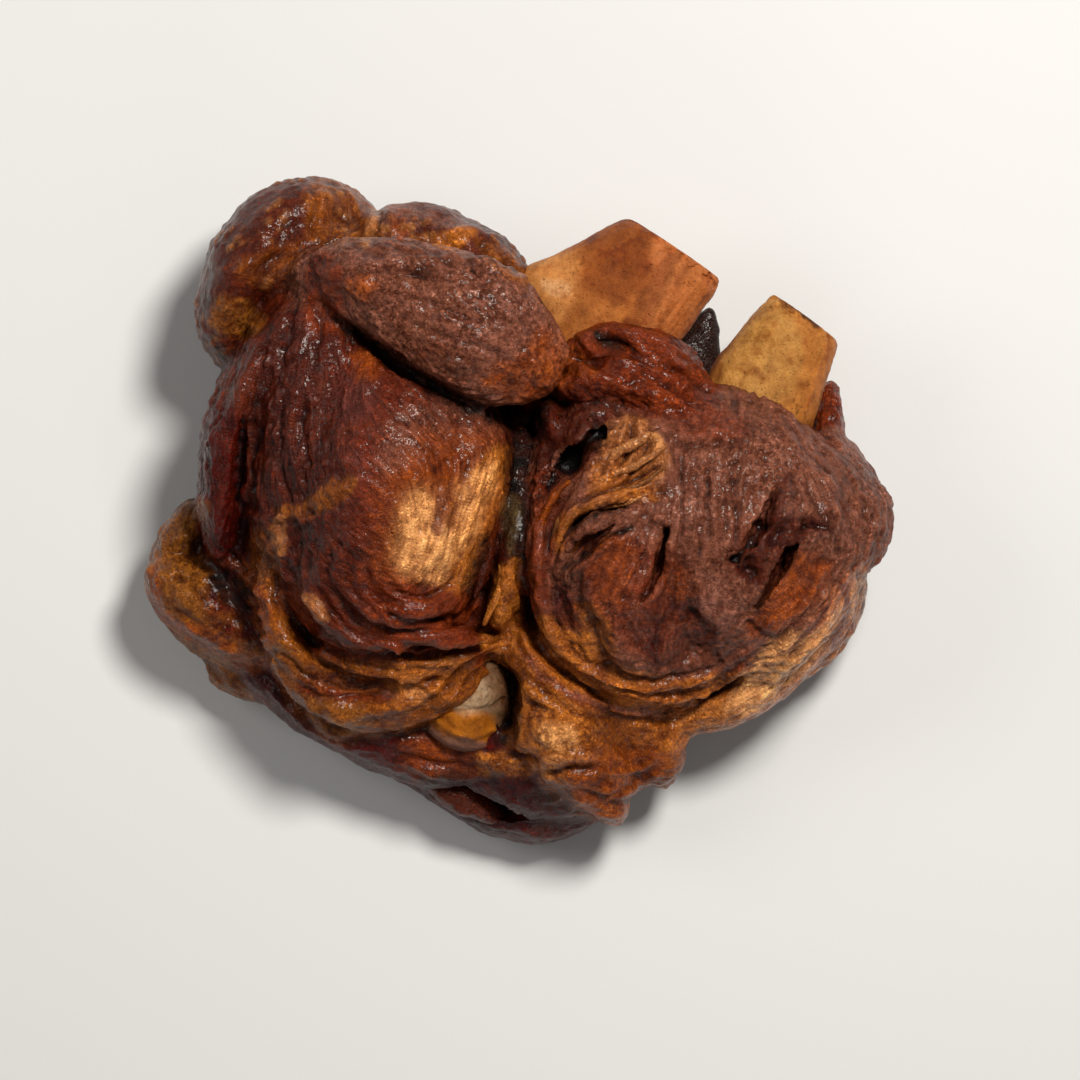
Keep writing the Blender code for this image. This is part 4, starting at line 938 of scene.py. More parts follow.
def relief(skin, weight, ways):
    """How far each point stands out from the plain form."""
    points = skin.points
    flat = points[:, :2] + 0.5 * np.stack([noise(points, 4, 31), noise(points, 4, 32)], axis=1)
    top = step(skin.normals[:, 2], -0.3, 0.3)

    meat = weight["left_muscle"] + weight["flap"] + weight["right_muscle"] + weight["skin_flaps"]
    fat = weight["shelf"] + weight["bottom_fat"] + weight["fat_band"] + weight["knob"]
    coarse = SWELL_HEIGHT * noise(points, SWELL_SIZE, 1) + LUMP_HEIGHT * rough(points, LUMP_SIZE, 2)
    fibres = np.abs(streaks(points, ways, FIBRE_SIZE, FIBRE_REACH, 3))
    bundles = streaks(points, ways, BUNDLE_SIZE, BUNDLE_REACH, 4)
    grainy = rough(points, GRAIN_SIZE, 6, 2)
    crusty = step(noise(points, CRUST_PATCH, 7), -0.35, 0.35) * (1 - 0.75 * weight["flap"])
    height = coarse * (0.7 + 0.3 * top)
    height += (FIBRE_HEIGHT * fibres + BUNDLE_HEIGHT * bundles) * meat
    height += (CRUST_HEIGHT * crusty + GRAIN_HEIGHT) * grainy * meat
    height -= PIT_DEPTH * step(noise(points, PIT_SIZE, 11), 0.4, 0.75) * crusty * meat
    height += (FAT_FIBRE_HEIGHT * fibres + FAT_BUNDLE_HEIGHT * bundles) * fat
    height += (FAT_LUMP_HEIGHT * noise(points, FAT_LUMP_SIZE, 8) + GRAIN_HEIGHT * grainy) * fat

    folded = weight["swirl"] + patch(flat, SWIRL_OUTLINE, 6) * weight["left_muscle"]
    height += RIPPLE_HEIGHT * ripples(flat, *SWIRL, noise(points, 7, 9)) * np.clip(folded, 0, 1)
    bands = patch(flat, BAND_OUTLINE, 5)
    height += RIPPLE_HEIGHT * ripples(flat, *BANDS, noise(points, 8, 10)) * bands * top

    rind = weight["rind_roll"] + weight["skin"] + weight["bottom_rind"]
    gap, _ = grains(points, GRANULE_SIZE, 12)
    spots = step(noise(points, GRANULE_PATCH, 13), -0.1, 0.4)
    height += GRANULE_HEIGHT * step(gap, 0.62, 0.2) * spots * weight["rind_roll"]
    height += (RIND_HEIGHT * rough(points, RIND_SIZE, 14) + GRAIN_HEIGHT * grainy) * rind
    wrinkles = streaks(points, ways, WRINKLE_SIZE, WRINKLE_REACH, 15)
    height += WRINKLE_HEIGHT * wrinkles * weight["bottom_rind"]

    for width, rise, path in FOLDS:
        line = bend(path)
        near = around(flat, line.min(axis=0), line.max(axis=0), 3 * width)
        gap, place = near_line(flat[near], line)
        ends = np.clip(4 * np.minimum(place, 1 - place) + 0.15, 0, 1)
        height[near] += rise * np.exp(-((gap / width) ** 2)) * ends * top[near]
    for x, y, radius, rise in KNOBS:
        near = around(flat, (x, y), (x, y), 3 * radius)
        gap = np.hypot(flat[near, 0] - x, flat[near, 1] - y)
        height[near] += rise * np.exp(-((gap / radius) ** 2)) * top[near]
    return height * step(points[:, 2], *FLOOR_ZONE)


# Colour: how strongly each kind of unevenness and the painted shade of hollows show, and how red, green and
# blue answer to them
PATCH_WARP = 1.3
MOTTLE_SIZE, MOTTLE = 9, 0.40
STREAK_SIZE, STREAK_REACH, STREAK = 2.2, 3, 0.32
MOTTLE_TINT = np.array([0.9, 1.15, 1.35])
STAIN_SIZE, STAIN = 4.5, 0.45
STAIN_TINT = np.array([1.0, 1.25, 1.4])
WARM_SIZE, WARM = 6, 0.35
PAINTED_HOLLOW_SHADE = 0.75
PAINTED_HOLLOW_TINT = np.array([1.0, 1.2, 1.3])
SIDE_TINT = 0.6
WARMTH = (1.0, 0.92, 0.80)


def paint(skin, weight, ways):
    """Each point's colour, how wet it is, and how stringy rather than grainy."""
    points = skin.points
    count = len(points)
    warp = np.stack([rough(points, 5, 41), rough(points, 5, 42)], axis=1)
    flat = points[:, :2] + PATCH_WARP * warp
    colour = np.zeros((count, 3))
    total = np.zeros(count)
    for name, base in BASE_TONES.items():
        colour += weight[name][:, None] * base
        total += weight[name]
    colour /= total[:, None]

    seen = np.flatnonzero(skin.normals[:, 2] > -0.15)
    upward = step(skin.normals[seen, 2], -0.15, 0.25)
    broken = 1 + 0.5 * noise(points[seen], 2.6, 43)
    for base, strength, soft, floor, outline in PATCHES:
        mask = patch(flat[seen], outline, soft * 1.3) * strength
        mask *= step(points[seen, 2], floor - 6, floor) * upward
        mask = np.clip(mask * broken, 0, 1)[:, None]
        colour[seen] = colour[seen] * (1 - mask) + base * mask

    mottle = MOTTLE * rough(points, MOTTLE_SIZE, 44)
    mottle += STREAK * streaks(points, ways, STREAK_SIZE, STREAK_REACH, 48)
    colour *= np.clip(1 + mottle, 0.2, 2)[:, None] ** MOTTLE_TINT
    stain = STAIN * step(rough(points, STAIN_SIZE, 49), 0.15, 0.6)
    colour *= (1 - stain)[:, None] ** STAIN_TINT
    warm = WARM * step(rough(points, WARM_SIZE, 45), 0.15, 0.7)[:, None]
    colour = colour * (1 - warm) + (colour * 0.5 + ORANGE_BROWN * 0.35) * warm

    granule, number = grains(points, GRANULE_SIZE, 12)
    spots = step(noise(points, GRANULE_PATCH, 13), -0.1, 0.4)
    mask = (step(granule, 0.6, 0.3) * spots * weight["rind_roll"] * (0.2 + 0.6 * number))[:, None]
    colour = colour * (1 - mask) + FAT_GRAIN * mask

    # painted shade: crevices and hollows darker, ridges a little lighter
    shade = np.clip(1.0 - PAINTED_HOLLOW_SHADE * hollowness(skin), 0.1, 1.25)[:, None]
    colour = colour * shade ** PAINTED_HOLLOW_TINT
    side = step(skin.normals[:, 2], 0.15, -0.35) * step(points[:, 2], 45, 15)
    side = SIDE_TINT * side[:, None]
    colour = colour * (1 - side) + DARK_RED * 0.8 * side

    meat = weight["left_muscle"] + weight["flap"] + weight["right_muscle"] + weight["skin_flaps"]
    wet = np.clip(0.75 - 0.4 * meat + 0.45 * rough(points, 11, 46), 0, 1)
    wet = np.maximum(wet, 0.9 * np.clip(weight["swirl"] + weight["shelf"], 0, 1))
    stringy = np.clip(0.5 + 0.5 * noise(points, 12, 47) + 0.3 * weight["left_muscle"]
                      - 0.3 * weight["flap"], 0, 1)
    wet *= step(colour[:, 0], 0.004, 0.03)
    colour *= WARMTH
    return np.clip(colour, 0.0005, 1), wet, stringy


def hollowness(skin):
    """How sunk each point is among its neighbours: about 1 in a crevice, below 0 on a ridge."""
    fine = sum(skin.spread(skin.points[:, k], 10) * skin.normals[:, k] for k in range(3))
    wide = sum(skin.spread(skin.points[:, k], 60) * skin.normals[:, k] for k in range(3))
    here = np.einsum("ij,ij->i", skin.points, skin.normals)
    return np.clip(0.9 * (fine - here), -0.4, 0.7) + np.clip(0.3 * (wide - here), -0.25, 0.8)


def make_skin():
    form = joined("meat_form", [path for paths in TISSUES.values() for path in paths], LOBE_GRAIN)
    fuse(form, COARSE_VOXEL)
    carve(form, GROOVES)
    fuse(form, FINE_VOXEL)
    skin = Skin(form)
    bpy.data.objects.remove(form)
    return skin


def split(skin, nearest, shift, extras, paint_to):
    """Makes one object of each piece's share of the skin, with the whole skin's normals."""
    kind = nearest[skin.faces[:, 0]]
    made = []
    for name, tissues in PIECES.items():
        chosen = np.isin(kind, [NAMES.index(tissue) for tissue in tissues])
        faces = skin.faces[chosen]
        used = np.unique(faces)
        number = np.zeros(len(skin.points), int)
        number[used] = np.arange(len(used))
        obj = mesh_object(name, skin.points[used] - shift, number[faces].tolist())
        mesh = obj.data
        add_values(mesh, {label: (form, values[used]) for label, (form, values) in extras.items()})
        mesh.normals_split_custom_set_from_vertices(skin.normals[used].tolist())
        mesh.materials.append(paint_to)
        made.append(obj)
    return made


def add_values(mesh, extras):
    """Keeps named values on the mesh's points: for each, its form and one row a point."""
    for label, (form, values) in extras.items():
        layer = mesh.attributes.new(label, form, "POINT")
        key = {"FLOAT": "value", "FLOAT_VECTOR": "vector", "FLOAT_COLOR": "color"}[form]
        if form == "FLOAT_COLOR":
            values = np.concatenate([values, np.ones((len(values), 1))], axis=1)
        layer.data.foreach_set(key, np.ascontiguousarray(values, np.float32).ravel())


# Materials

# A mix node's colour sockets, which have the same names as its number and vector sockets
MIX_FIRST, MIX_SECOND, MIX_RESULT = 6, 7, 2


class Nodes:
    """A material's node tree, with short ways to add and join nodes."""

    def __init__(self, name):
        self.material = bpy.data.materials.new(name)
        self.material.use_nodes = True
        self.tree = self.material.node_tree
        self.shader = self.tree.nodes["Principled BSDF"]

    def add(self, kind, **settings):
        node = self.tree.nodes.new(kind)
        for name, value in settings.items():
            setattr(node, name, value)
        return node

    def put(self, socket, value):
        if isinstance(value, bpy.types.NodeSocket):
            self.tree.links.new(value, socket)
        else:
            socket.default_value = value

    def attribute(self, name, output="Fac"):
        return self.add("ShaderNodeAttribute", attribute_name=name).outputs[output]

    def math(self, operation, *values):
        node = self.add("ShaderNodeMath", operation=operation)
        for socket, value in zip(node.inputs, values):
            self.put(socket, value)
        return node.outputs[0]

    def vector(self, operation, first, second):
        node = self.add("ShaderNodeVectorMath", operation=operation)
        self.put(node.inputs[0], first)
        if operation == "SCALE":
            self.put(node.inputs["Scale"], second)
        else:
            self.put(node.inputs[1], second)
        return node.outputs[0]

    def mix(self, share, first, second, blend="MIX"):
        node = self.add("ShaderNodeMix", data_type="RGBA", blend_type=blend)
        self.put(node.inputs["Factor"], share)
        self.put(node.inputs[MIX_FIRST], first)
        self.put(node.inputs[MIX_SECOND], second)
        return node.outputs[MIX_RESULT]

    def noise(self, place, size, detail, roughness):
        """Noise whose lumps are about size millimetres across."""
        node = self.add("ShaderNodeTexNoise")
        self.put(node.inputs["Vector"], place)
        node.inputs["Scale"].default_value = 1 / (size * MM)
        node.inputs["Detail"].default_value = detail
        node.inputs["Roughness"].default_value = roughness
        return node.outputs["Fac"]

    def ramp(self, value, *stops):
        """The value, run through two stops, each a position and a grey level."""
        node = self.add("ShaderNodeValToRGB")
        self.put(node.inputs[0], value)
        for element, (position, level) in zip(node.color_ramp.elements, stops):
            element.position = position
            element.color = (level, level, level, 1.0)
        return node.outputs["Color"]

    def drawn(self, place, reach, size, detail, roughness):
        """Noise drawn out along the fibres."""
        ways = self.attribute("flow", "Vector")
        total = None
        for share in (-1.5, -0.5, 0.5, 1.5):
            offset = self.vector("SCALE", ways, share * reach * MM)
            value = self.noise(self.vector("ADD", place, offset), size, detail, roughness)
            total = value if total is None else self.math("ADD", total, value)
        return self.math("MULTIPLY", total, 0.25)

    def fix(self, **values):
        """Sets the shader's plain numbers; an underscore stands for a space."""
        for name, value in values.items():
            self.shader.inputs[name.replace("_", " ")].default_value = value

    def bump(self, height, strength, distance, normal=None):
        """A bump of the strength given, distance millimetres high."""
        node = self.add("ShaderNodeBump")
        node.inputs["Strength"].default_value = strength
        node.inputs["Distance"].default_value = distance * MM
        self.put(node.inputs["Height"], height)
        if normal is not None:
            self.put(node.inputs["Normal"], normal)
        return node.outputs["Normal"]


# What the painted colour is multiplied by in dark, light and pale grains. The meat's dark and light grains
# follow the bump's height, so they are partly painted shade in hollows and painted highlight on tops; its
# pale specks are partly fat grains, partly painted glints
MEAT_DARK_GRAIN_AND_SHADE = (0.34, 0.22, 0.13, 1.0)
MEAT_LIGHT_GRAIN_AND_HIGHLIGHT = (1.50, 1.68, 1.95, 1.0)
MEAT_PALE_GRAIN_AND_GLINT = (2.6, 3.0, 3.6, 1.0)
BONE_DARK = (0.70, 0.56, 0.42, 1.0)
BONE_LIGHT = (1.16, 1.14, 1.10, 1.0)


def braised_material():
    """Wet braised tissue: the painted colour, broken up by fibres and grains that carry painted shade and
    highlight, and by pale specks that are partly painted glints, with a fatty gloss.
    """
    nodes = Nodes("braised_tissue")
    shader = nodes.shader
    place = nodes.add("ShaderNodeTexCoord").outputs["Object"]
    stringy = nodes.attribute("stringy")
    wet = nodes.attribute("wet")
    colour = nodes.attribute("paint", "Color")

    drawn = nodes.ramp(nodes.drawn(place, 0.8, 0.75, 2.5, 0.6), (0.38, 0.0), (0.62, 1.0))
    grain = nodes.ramp(nodes.noise(place, 1.3, 5.0, 0.72), (0.40, 0.0), (0.60, 1.0))
    texture = nodes.mix(stringy, grain, drawn)

    # dark and light copies of the colour, mixed by the bump's own height: partly grain tone, partly painted
    # shade and highlight
    dark = nodes.mix(1.0, colour, MEAT_DARK_GRAIN_AND_SHADE, "MULTIPLY")
    light = nodes.mix(1.0, colour, MEAT_LIGHT_GRAIN_AND_HIGHLIGHT, "MULTIPLY")
    pale = nodes.mix(1.0, colour, MEAT_PALE_GRAIN_AND_GLINT, "MULTIPLY")
    # pale specks: partly fat grains, partly painted glints
    specks = nodes.ramp(nodes.noise(place, 0.8, 2.0, 0.55), (0.58, 0.0), (0.66, 1.0))
    clusters = nodes.ramp(nodes.noise(place, 7.0, 3.0, 0.6), (0.38, 0.15), (0.62, 0.75))
    body = nodes.mix(texture, dark, light)
    body = nodes.mix(nodes.math("MULTIPLY", specks, clusters), body, pale)
    nodes.put(shader.inputs["Base Color"], body)

    gloss = nodes.math("MULTIPLY_ADD", wet, -0.10, 0.32)
    uneven = nodes.noise(place, 2.0, 3.0, 0.6)
    gloss = nodes.math("MULTIPLY_ADD", uneven, 0.16, nodes.math("SUBTRACT", gloss, 0.08))
    nodes.put(shader.inputs["Roughness"], gloss)

    coarse = nodes.bump(texture, 0.75, 0.55)
    fine = nodes.noise(place, 0.6, 3.0, 0.65)
    nodes.put(shader.inputs["Normal"], nodes.bump(fine, 0.5, 0.3, coarse))
    film = nodes.bump(nodes.noise(place, 1.1, 2.0, 0.5), 0.7, 0.45)
    nodes.put(shader.inputs["Coat Normal"], film)
    coat = nodes.math("MULTIPLY_ADD", wet, 0.9, 0.08)
    nodes.put(shader.inputs["Coat Weight"], nodes.math("MINIMUM", coat, 0.32))
    nodes.fix(Coat_Roughness=0.13, Coat_IOR=1.4, IOR=1.33, Specular_IOR_Level=0.30)
    nodes.fix(Subsurface_Weight=0.12, Subsurface_Radius=(1.0, 0.35, 0.2), Subsurface_Scale=1.6 * MM)
    return nodes.material


def bone_material():
    """Cooked bone: stained ochre, streaked along its length, with fine pores."""
    nodes = Nodes("cooked_bone")
    shader = nodes.shader
    place = nodes.add("ShaderNodeTexCoord").outputs["Object"]
    colour = nodes.attribute("paint", "Color")
    drawn = nodes.ramp(nodes.drawn(place, 1.6, 0.6, 3.0, 0.7), (0.4, 0.0), (0.6, 1.0))
    stain = nodes.ramp(nodes.noise(place, 4.0, 5.0, 0.7), (0.4, 0.0), (0.6, 1.0))
    texture = nodes.mix(0.55, drawn, stain)
    dark = nodes.mix(1.0, colour, BONE_DARK, "MULTIPLY")
    light = nodes.mix(1.0, colour, BONE_LIGHT, "MULTIPLY")
    pores = nodes.ramp(nodes.noise(place, 0.7, 3.0, 0.6), (0.30, 0.35), (0.40, 1.0))
    body = nodes.mix(texture, dark, light)
    nodes.put(shader.inputs["Base Color"], nodes.mix(0.8, body, pores, "MULTIPLY"))
    nodes.put(shader.inputs["Roughness"], nodes.math("MULTIPLY_ADD", drawn, 0.15, 0.38))
    nodes.put(shader.inputs["Normal"], nodes.bump(drawn, 0.5, 0.35, nodes.bump(pores, 0.5, 0.35)))
    nodes.fix(Subsurface_Weight=0.1, Subsurface_Radius=(1.0, 0.6, 0.35), Subsurface_Scale=1.5 * MM)
    nodes.fix(Specular_IOR_Level=0.15)
    return nodes.material


def floor_material():
    nodes = Nodes("pale_floor")
    nodes.fix(Base_Color=FLOOR_COLOUR, Roughness=FLOOR_ROUGHNESS)
    return nodes.material


# Bones

MARROW = tone(96, 50, 20)
BONE_TONES = {
    "bone_wide": tone(176, 108, 48), "bone_narrow": tone(180, 118, 54), "joint_bone": tone(112, 84, 60),
}
BONE_PATCHES = {
    "bone_wide": [
        (tone(206, 142, 80), 0.8, 4, [(2, 62), (14, 66), (16, 58), (12, 48), (6, 52)]),
        # painted highlight on the wide bone's pale end
        (tone(240, 190, 140), 0.6, 2, [(7, 58), (14, 57), (13, 54), (8, 55)]),
        (tone(134, 70, 26), 0.85, 5, [(16, 68), (26, 77), (40, 70), (40, 62), (30, 60), (20, 64)]),
        (tone(136, 68, 18), 0.85, 5, [(20, 64), (32, 67), (34, 58), (26, 52), (17, 56)]),
        (tone(196, 118, 66), 0.8, 3, [(36, 70), (50, 63), (52, 57), (44, 44), (32, 43), (34, 56)]),
        (tone(128, 60, 22), 0.45, 1.5, [(36, 63), (40, 63), (31, 45), (26, 45)]),
        (tone(140, 76, 34), 0.4, 1.2, [(44, 66), (46, 65), (37, 45), (35, 45)]),
        (tone(144, 84, 42), 0.6, 1.0, [(41, 66), (42.5, 66), (34, 46), (32.5, 46)]),
    ],
    "bone_narrow": [
        (tone(186, 138, 72), 0.8, 4, [(50, 34), (56, 46), (66, 54), (72, 40), (64, 24), (52, 24)]),
        (tone(134, 72, 22), 0.9, 3, [(64, 56), (60, 52), (50, 36), (42, 28), (40, 32), (60, 58)]),
        (tone(184, 112, 50), 0.7, 3, [(80, 44), (82, 40), (74, 18), (70, 20), (76, 38)]),
        (tone(146, 96, 36), 0.5, 4, [(48, 28), (60, 24), (74, 24), (72, 14), (50, 18)]),
        (tone(70, 34, 18), 0.9, 1.0, [(71, 52), (74, 50), (77, 47), (75, 46.5), (71.5, 50)]),
        (tone(96, 52, 22), 0.7, 0.8, [(66, 54), (70, 52.5), (71, 50.5), (67, 52)]),
    ],
    "joint_bone": [
        (tone(170, 100, 14), 0.95, 2.5, [(-22, -49), (-10, -49), (-4, -53), (-6, -58), (-20, -55)]),
        (tone(120, 84, 74), 0.85, 1.5, [(-24, -52), (-18, -55), (-5, -58), (-4, -64), (-24, -62)]),
        (tone(182, 158, 130), 0.85, 3, [(-15, -40), (-7, -42), (-7, -49), (-14, -49)]),
        # painted shade along the edge next to the dark gap
        (tone(84, 52, 32), 0.7, 2, [(-6, -34), (-3, -44), (-3, -56), (0, -56), (0, -34)]),
    ],
}


BONE_GRAIN = (180, 150)

# Relief of the bones, in millimetres: the size of each kind of lump, and its height
BONE_SWELL_SIZE, BONE_SWELL_HEIGHT = 9, 0.3
BONE_LUMP_SIZE, BONE_LUMP_HEIGHT = 3, 0.16
LINE_SIZE, LINE_REACH, LINE_HEIGHT = 1.5, 5, 0.16
RIM_WIDTH, RIM_WEAR = 3.0, 0.2
CHIP_SIZE, CHIP_DEPTH = 4, 0.9
NICK_SIZE, NICK_DEPTH = 1.6, 0.7
MARROW_DEPTH, MARROW_LUMP_SIZE = 2.0, 2.5
MARROW_EDGE, MARROW_FLOOR = 0.75, 0.45      # shares of the bone's half thickness
KNUCKLE_SIZE, KNUCKLE_HEIGHT = 4, 0.35
PORE_SIZE, PORE_DEPTH = 1.7, 0.5
GRISTLE_LINE_SIZE = 1.6
# Colour of the bones
BONE_PATCH_WARP = 0.9
DOT_SIZE, DOT = 0.9, 0.6
BONE_MOTTLE_SIZE, BONE_MOTTLE, LINE_MOTTLE = 5, 0.25, 0.12
BONE_STAIN_SIZE, BONE_STAIN = 4, 0.4
BONE_STAIN_TINT = np.array([0.7, 1.1, 1.5])
MARROW_TINT = 0.8


def sawn_relief(points, first, way, thickness):
    """A sawn bone's lines, its chipped rim, and how far each point lies in the marrow hollow."""
    along = (points - first) @ way
    lines = streaks(points, np.tile(way, (len(points), 1)), LINE_SIZE, LINE_REACH, 53)
    wear = RIM_WEAR + CHIP_DEPTH * step(noise(points, CHIP_SIZE, 54), 0.1, 0.5)
    wear += NICK_DEPTH * step(noise(points, NICK_SIZE, 62), 0.1, 0.4)
    height = LINE_HEIGHT * lines - step(along, RIM_WIDTH, 0.5) * wear
    inner = np.linalg.norm((points - first) - along[:, None] * way, axis=1)
    marrow = step(along, 0.9, 0.2) * step(inner, thickness * MARROW_EDGE, thickness * MARROW_FLOOR)
    return height, lines, marrow


# Wrinkles of the joint end's skin, and the groove under its cartilage: rise, width and path
JOINT_FOLDS = [
    (1.1, 1.0, [(-23, -50), (-20, -55), (-13, -58.5), (-7, -58)]),
    (0.6, 0.8, [(-20, -51), (-17, -54), (-11, -56), (-5, -54)]),
    (-0.9, 0.8, [(-21, -49), (-14, -49.6), (-6, -49), (-3, -47)]),
]


def joint_relief(points):
    """The joint end's folds, pores and lumps, and its faint lines."""
    lines = noise(points * (0.35, 1.0, 1.0), GRISTLE_LINE_SIZE, 53)
    height = KNUCKLE_HEIGHT * rough(points, KNUCKLE_SIZE, 60)
    for rise, width, path in JOINT_FOLDS:
        gap, _ = near_line(points[:, :2], bend(path))
        height += rise * np.exp(-((gap / width) ** 2))
    porous = step(points[:, 1], -50, -47)
    height -= PORE_DEPTH * porous * step(noise(points, PORE_SIZE, 59), 0.15, 0.5)
    return height, lines


def make_bone(name, shift, paint_to):
    """One bone: its lobe as in the part, with relief, stains, a painted highlight on the wide bone and
    painted shade on the joint end's edge, and, where it is sawn, a marrow hollow.
    """
    stations = BONES[name]
    sawn = name != "joint_bone"
    bluntness = SAWN_BLUNTNESS if sawn else ROUND_BLUNTNESS
    points, faces = lobe(stations, BONE_GRAIN, bluntness, SAW_CUTS.get(name))
    first, last = np.array(stations[0][:3], float), np.array(stations[-1][:3], float)
    length = np.linalg.norm(last - first)
    way = (last - first) / length
    middle = smooth_path(stations, np.clip((points - first) @ way / length, 0, 1))
    out = unit(points - middle[:, :3], 0.1)
    swell = BONE_SWELL_HEIGHT * noise(points, BONE_SWELL_SIZE, 51)
    swell += BONE_LUMP_HEIGHT * rough(points, BONE_LUMP_SIZE, 52)
    ways = np.tile(way, (len(points), 1))
    marrow = np.zeros(len(points))
    if sawn:
        height, lines, marrow = sawn_relief(points, first, way, stations[0][4])
        hollow = MARROW_DEPTH * marrow * (1 + 0.25 * rough(points, MARROW_LUMP_SIZE, 59))
        points = points + way * hollow[:, None]
    else:
        height, lines = joint_relief(points)
    points = points + out * (swell + height)[:, None]
    warp = np.stack([rough(points, 4, 55), rough(points, 4, 56)], axis=1)
    flat = points[:, :2] + BONE_PATCH_WARP * warp
    colour = np.tile(BONE_TONES[name], (len(points), 1))
    for base, strength, soft, outline in BONE_PATCHES[name]:
        mask = (patch(flat, outline, soft) * strength)[:, None]
        colour = colour * (1 - mask) + base * mask
    if name == "bone_narrow":
        dots = step(noise(points, DOT_SIZE, 57), 0.35, 0.5) * step(points[:, 1], 34, 24)
        colour *= (1 - DOT * dots)[:, None]
    colour *= (1 + BONE_MOTTLE * rough(points, BONE_MOTTLE_SIZE, 58) + LINE_MOTTLE * lines)[:, None]
    stain = BONE_STAIN * step(rough(points, BONE_STAIN_SIZE, 61), 0.1, 0.6)
    colour *= (1 - stain)[:, None] ** BONE_STAIN_TINT
    share = MARROW_TINT * marrow[:, None]
    colour = colour * (1 - share) + MARROW * share
    obj = mesh_object(name + "_detail", points - shift, faces)
    add_values(obj.data, {"paint": ("FLOAT_COLOR", np.clip(colour, 0, 1)), "flow": ("FLOAT_VECTOR", ways)})
    obj.data.materials.append(paint_to)
    obj.data.shade_smooth()
    return obj


# Torn strips of tissue that lie over the meat: tissue, then path stations as for the lobes
STRIPS = [
    (TAN, [(10, -9, 59, 0.9, 1.2), (12.5, -3, 62, 1.3, 1.4), (18, 1.4, 64.5, 1.3, 1.4),
           (26, 2.6, 66, 1.2, 1.3), (33, 4.5, 66.5, 0.7, 0.9)]),
    (DARK_AMBER, [(12, -13, 58, 1.2, 1.3), (14.5, -7.5, 61, 1.8, 1.5), (19, -3.6, 64, 1.4, 1.4),
                  (25, -1.6, 65.5, 1.0, 1.1), (29, -1.4, 66, 0.6, 0.8)]),
    (TORN, [(9, -12, 57, 0.8, 1.1), (10.5, -4, 60, 0.9, 1.2), (15, 2.6, 63, 1.0, 1.2),
            (22, 5, 65, 1.0, 1.2), (31, 7, 66.5, 0.9, 1.1), (37, 11.5, 66, 0.7, 0.9)]),
    (TAN, [(22, 9, 65, 0.8, 1.1), (28, 11, 66.8, 1.0, 1.3), (34, 14, 67, 0.9, 1.2),
           (38, 17, 65.5, 0.6, 0.9)]),
    (TAN, [(23, 13, 65, 0.9, 1.1), (28, 16.5, 66.8, 1.3, 1.4), (34, 20, 66.5, 1.1, 1.2)]),
    (ORANGE_BROWN, [(5, -14, 55, 0.7, 1.0), (6.5, -4, 58, 0.8, 1.2), (9, 3, 60, 0.9, 1.2),
                    (14, 8, 63, 0.8, 1.0)]),
    (RED_BROWN, [(76.5, 12, 37, 3.4, 4.5), (78, 19, 35, 3.4, 4.5), (79, 25, 33, 3.2, 4),
                 (79.4, 30, 31, 2.8, 3.2), (79.2, 33, 30, 2.2, 2.6)]),
    (FILM, [(36, 28, 27, 6, 5), (41, 34.5, 24.5, 7.5, 3.5), (45, 41, 23.5, 7, 3), (48, 47, 23.5, 4.4, 2.6),
            (49.5, 52, 24, 2.0, 2.0)]),
    (RIND, [(-23, -66, 16, 3.0, 4), (-16, -70, 17, 4.4, 4), (-9, -74, 16, 4.0, 4), (-2, -78, 12, 2.6, 3)]),
    (DARK_RED, [(0, -71, 12, 3, 4), (5, -74.5, 14, 5, 6), (11, -76, 13, 4, 5), (15, -75, 12, 2, 3)]),
    (DARK_RED, [(-24, -67, 12, 2, 4), (-17, -71, 11, 3.4, 5), (-9, -73, 9, 3, 4)]),
    (GREY_FAT, [(-1, 3, 46, 1.4, 1.6), (-1.5, -3, 48, 1.8, 1.8), (-2, -10, 49, 1.2, 1.4)]),
    (DARK_BROWN, [(-5, -5, 52, 0.9, 1.2), (-7.5, -13, 53, 1.4, 1.6), (-9.5, -21, 51, 0.9, 1.2)]),
    (AMBER, [(-3, -12, 50, 0.9, 1.2), (-4, -20, 50, 1.2, 1.5), (-8, -28, 48, 0.8, 1.1)]),
]


STRIP_GRAIN = (26, 90)
STRIP_LUMP_SIZE, STRIP_LUMP_HEIGHT = 2.4, 0.35
STRIP_BEND_SIZE, STRIP_BEND = 5, 0.5
STRIP_MOTTLE_SIZE, STRIP_MOTTLE = 3, 0.35
STRIP_WET, STRIP_STRINGY = 0.8, 0.9


def make_strips(shift, paint_to):
    """The torn strips as one piece, each roughened and a little bent."""
    places, faces, colours, ways = [], [], [], []
    start = 0
    for index, (base, stations) in enumerate(STRIPS):
        points, sides = lobe(stations, STRIP_GRAIN)
        run = np.array(stations[-1][:3], float) - stations[0][:3]
        run /= np.linalg.norm(run)
        centre = smooth_path(stations, np.linspace(0, 1, 40))[:, :3]
        nearest = ((points[:, None, :] - centre[None]) ** 2).sum(axis=2).argmin(axis=1)
        out = unit(points - centre[nearest], 0.2)
        points = points + out * (STRIP_LUMP_HEIGHT * rough(points, STRIP_LUMP_SIZE, 60 + index))[:, None]
        bent = [noise(points, STRIP_BEND_SIZE, 80 + k + index) for k in range(3)]
        points = points + STRIP_BEND * np.stack(bent, axis=1)
        shade = (1 + STRIP_MOTTLE * rough(points, STRIP_MOTTLE_SIZE, 90 + index))[:, None]
        places.append(points)
        colours.append(base * shade)
        ways.append(np.tile(run, (len(points), 1)))
        faces += [[start + corner for corner in side] for side in sides]
        start += len(points)
    obj = mesh_object("torn_strips", np.concatenate(places) - shift, faces)
    add_values(obj.data, {
        "paint": ("FLOAT_COLOR", np.clip(np.concatenate(colours), 0, 1)),
        "flow": ("FLOAT_VECTOR", np.concatenate(ways)),
        "wet": ("FLOAT", np.full(start, STRIP_WET)),
        "stringy": ("FLOAT", np.full(start, STRIP_STRINGY)),
    })
    obj.data.materials.append(paint_to)
    obj.data.shade_smooth()
    return obj


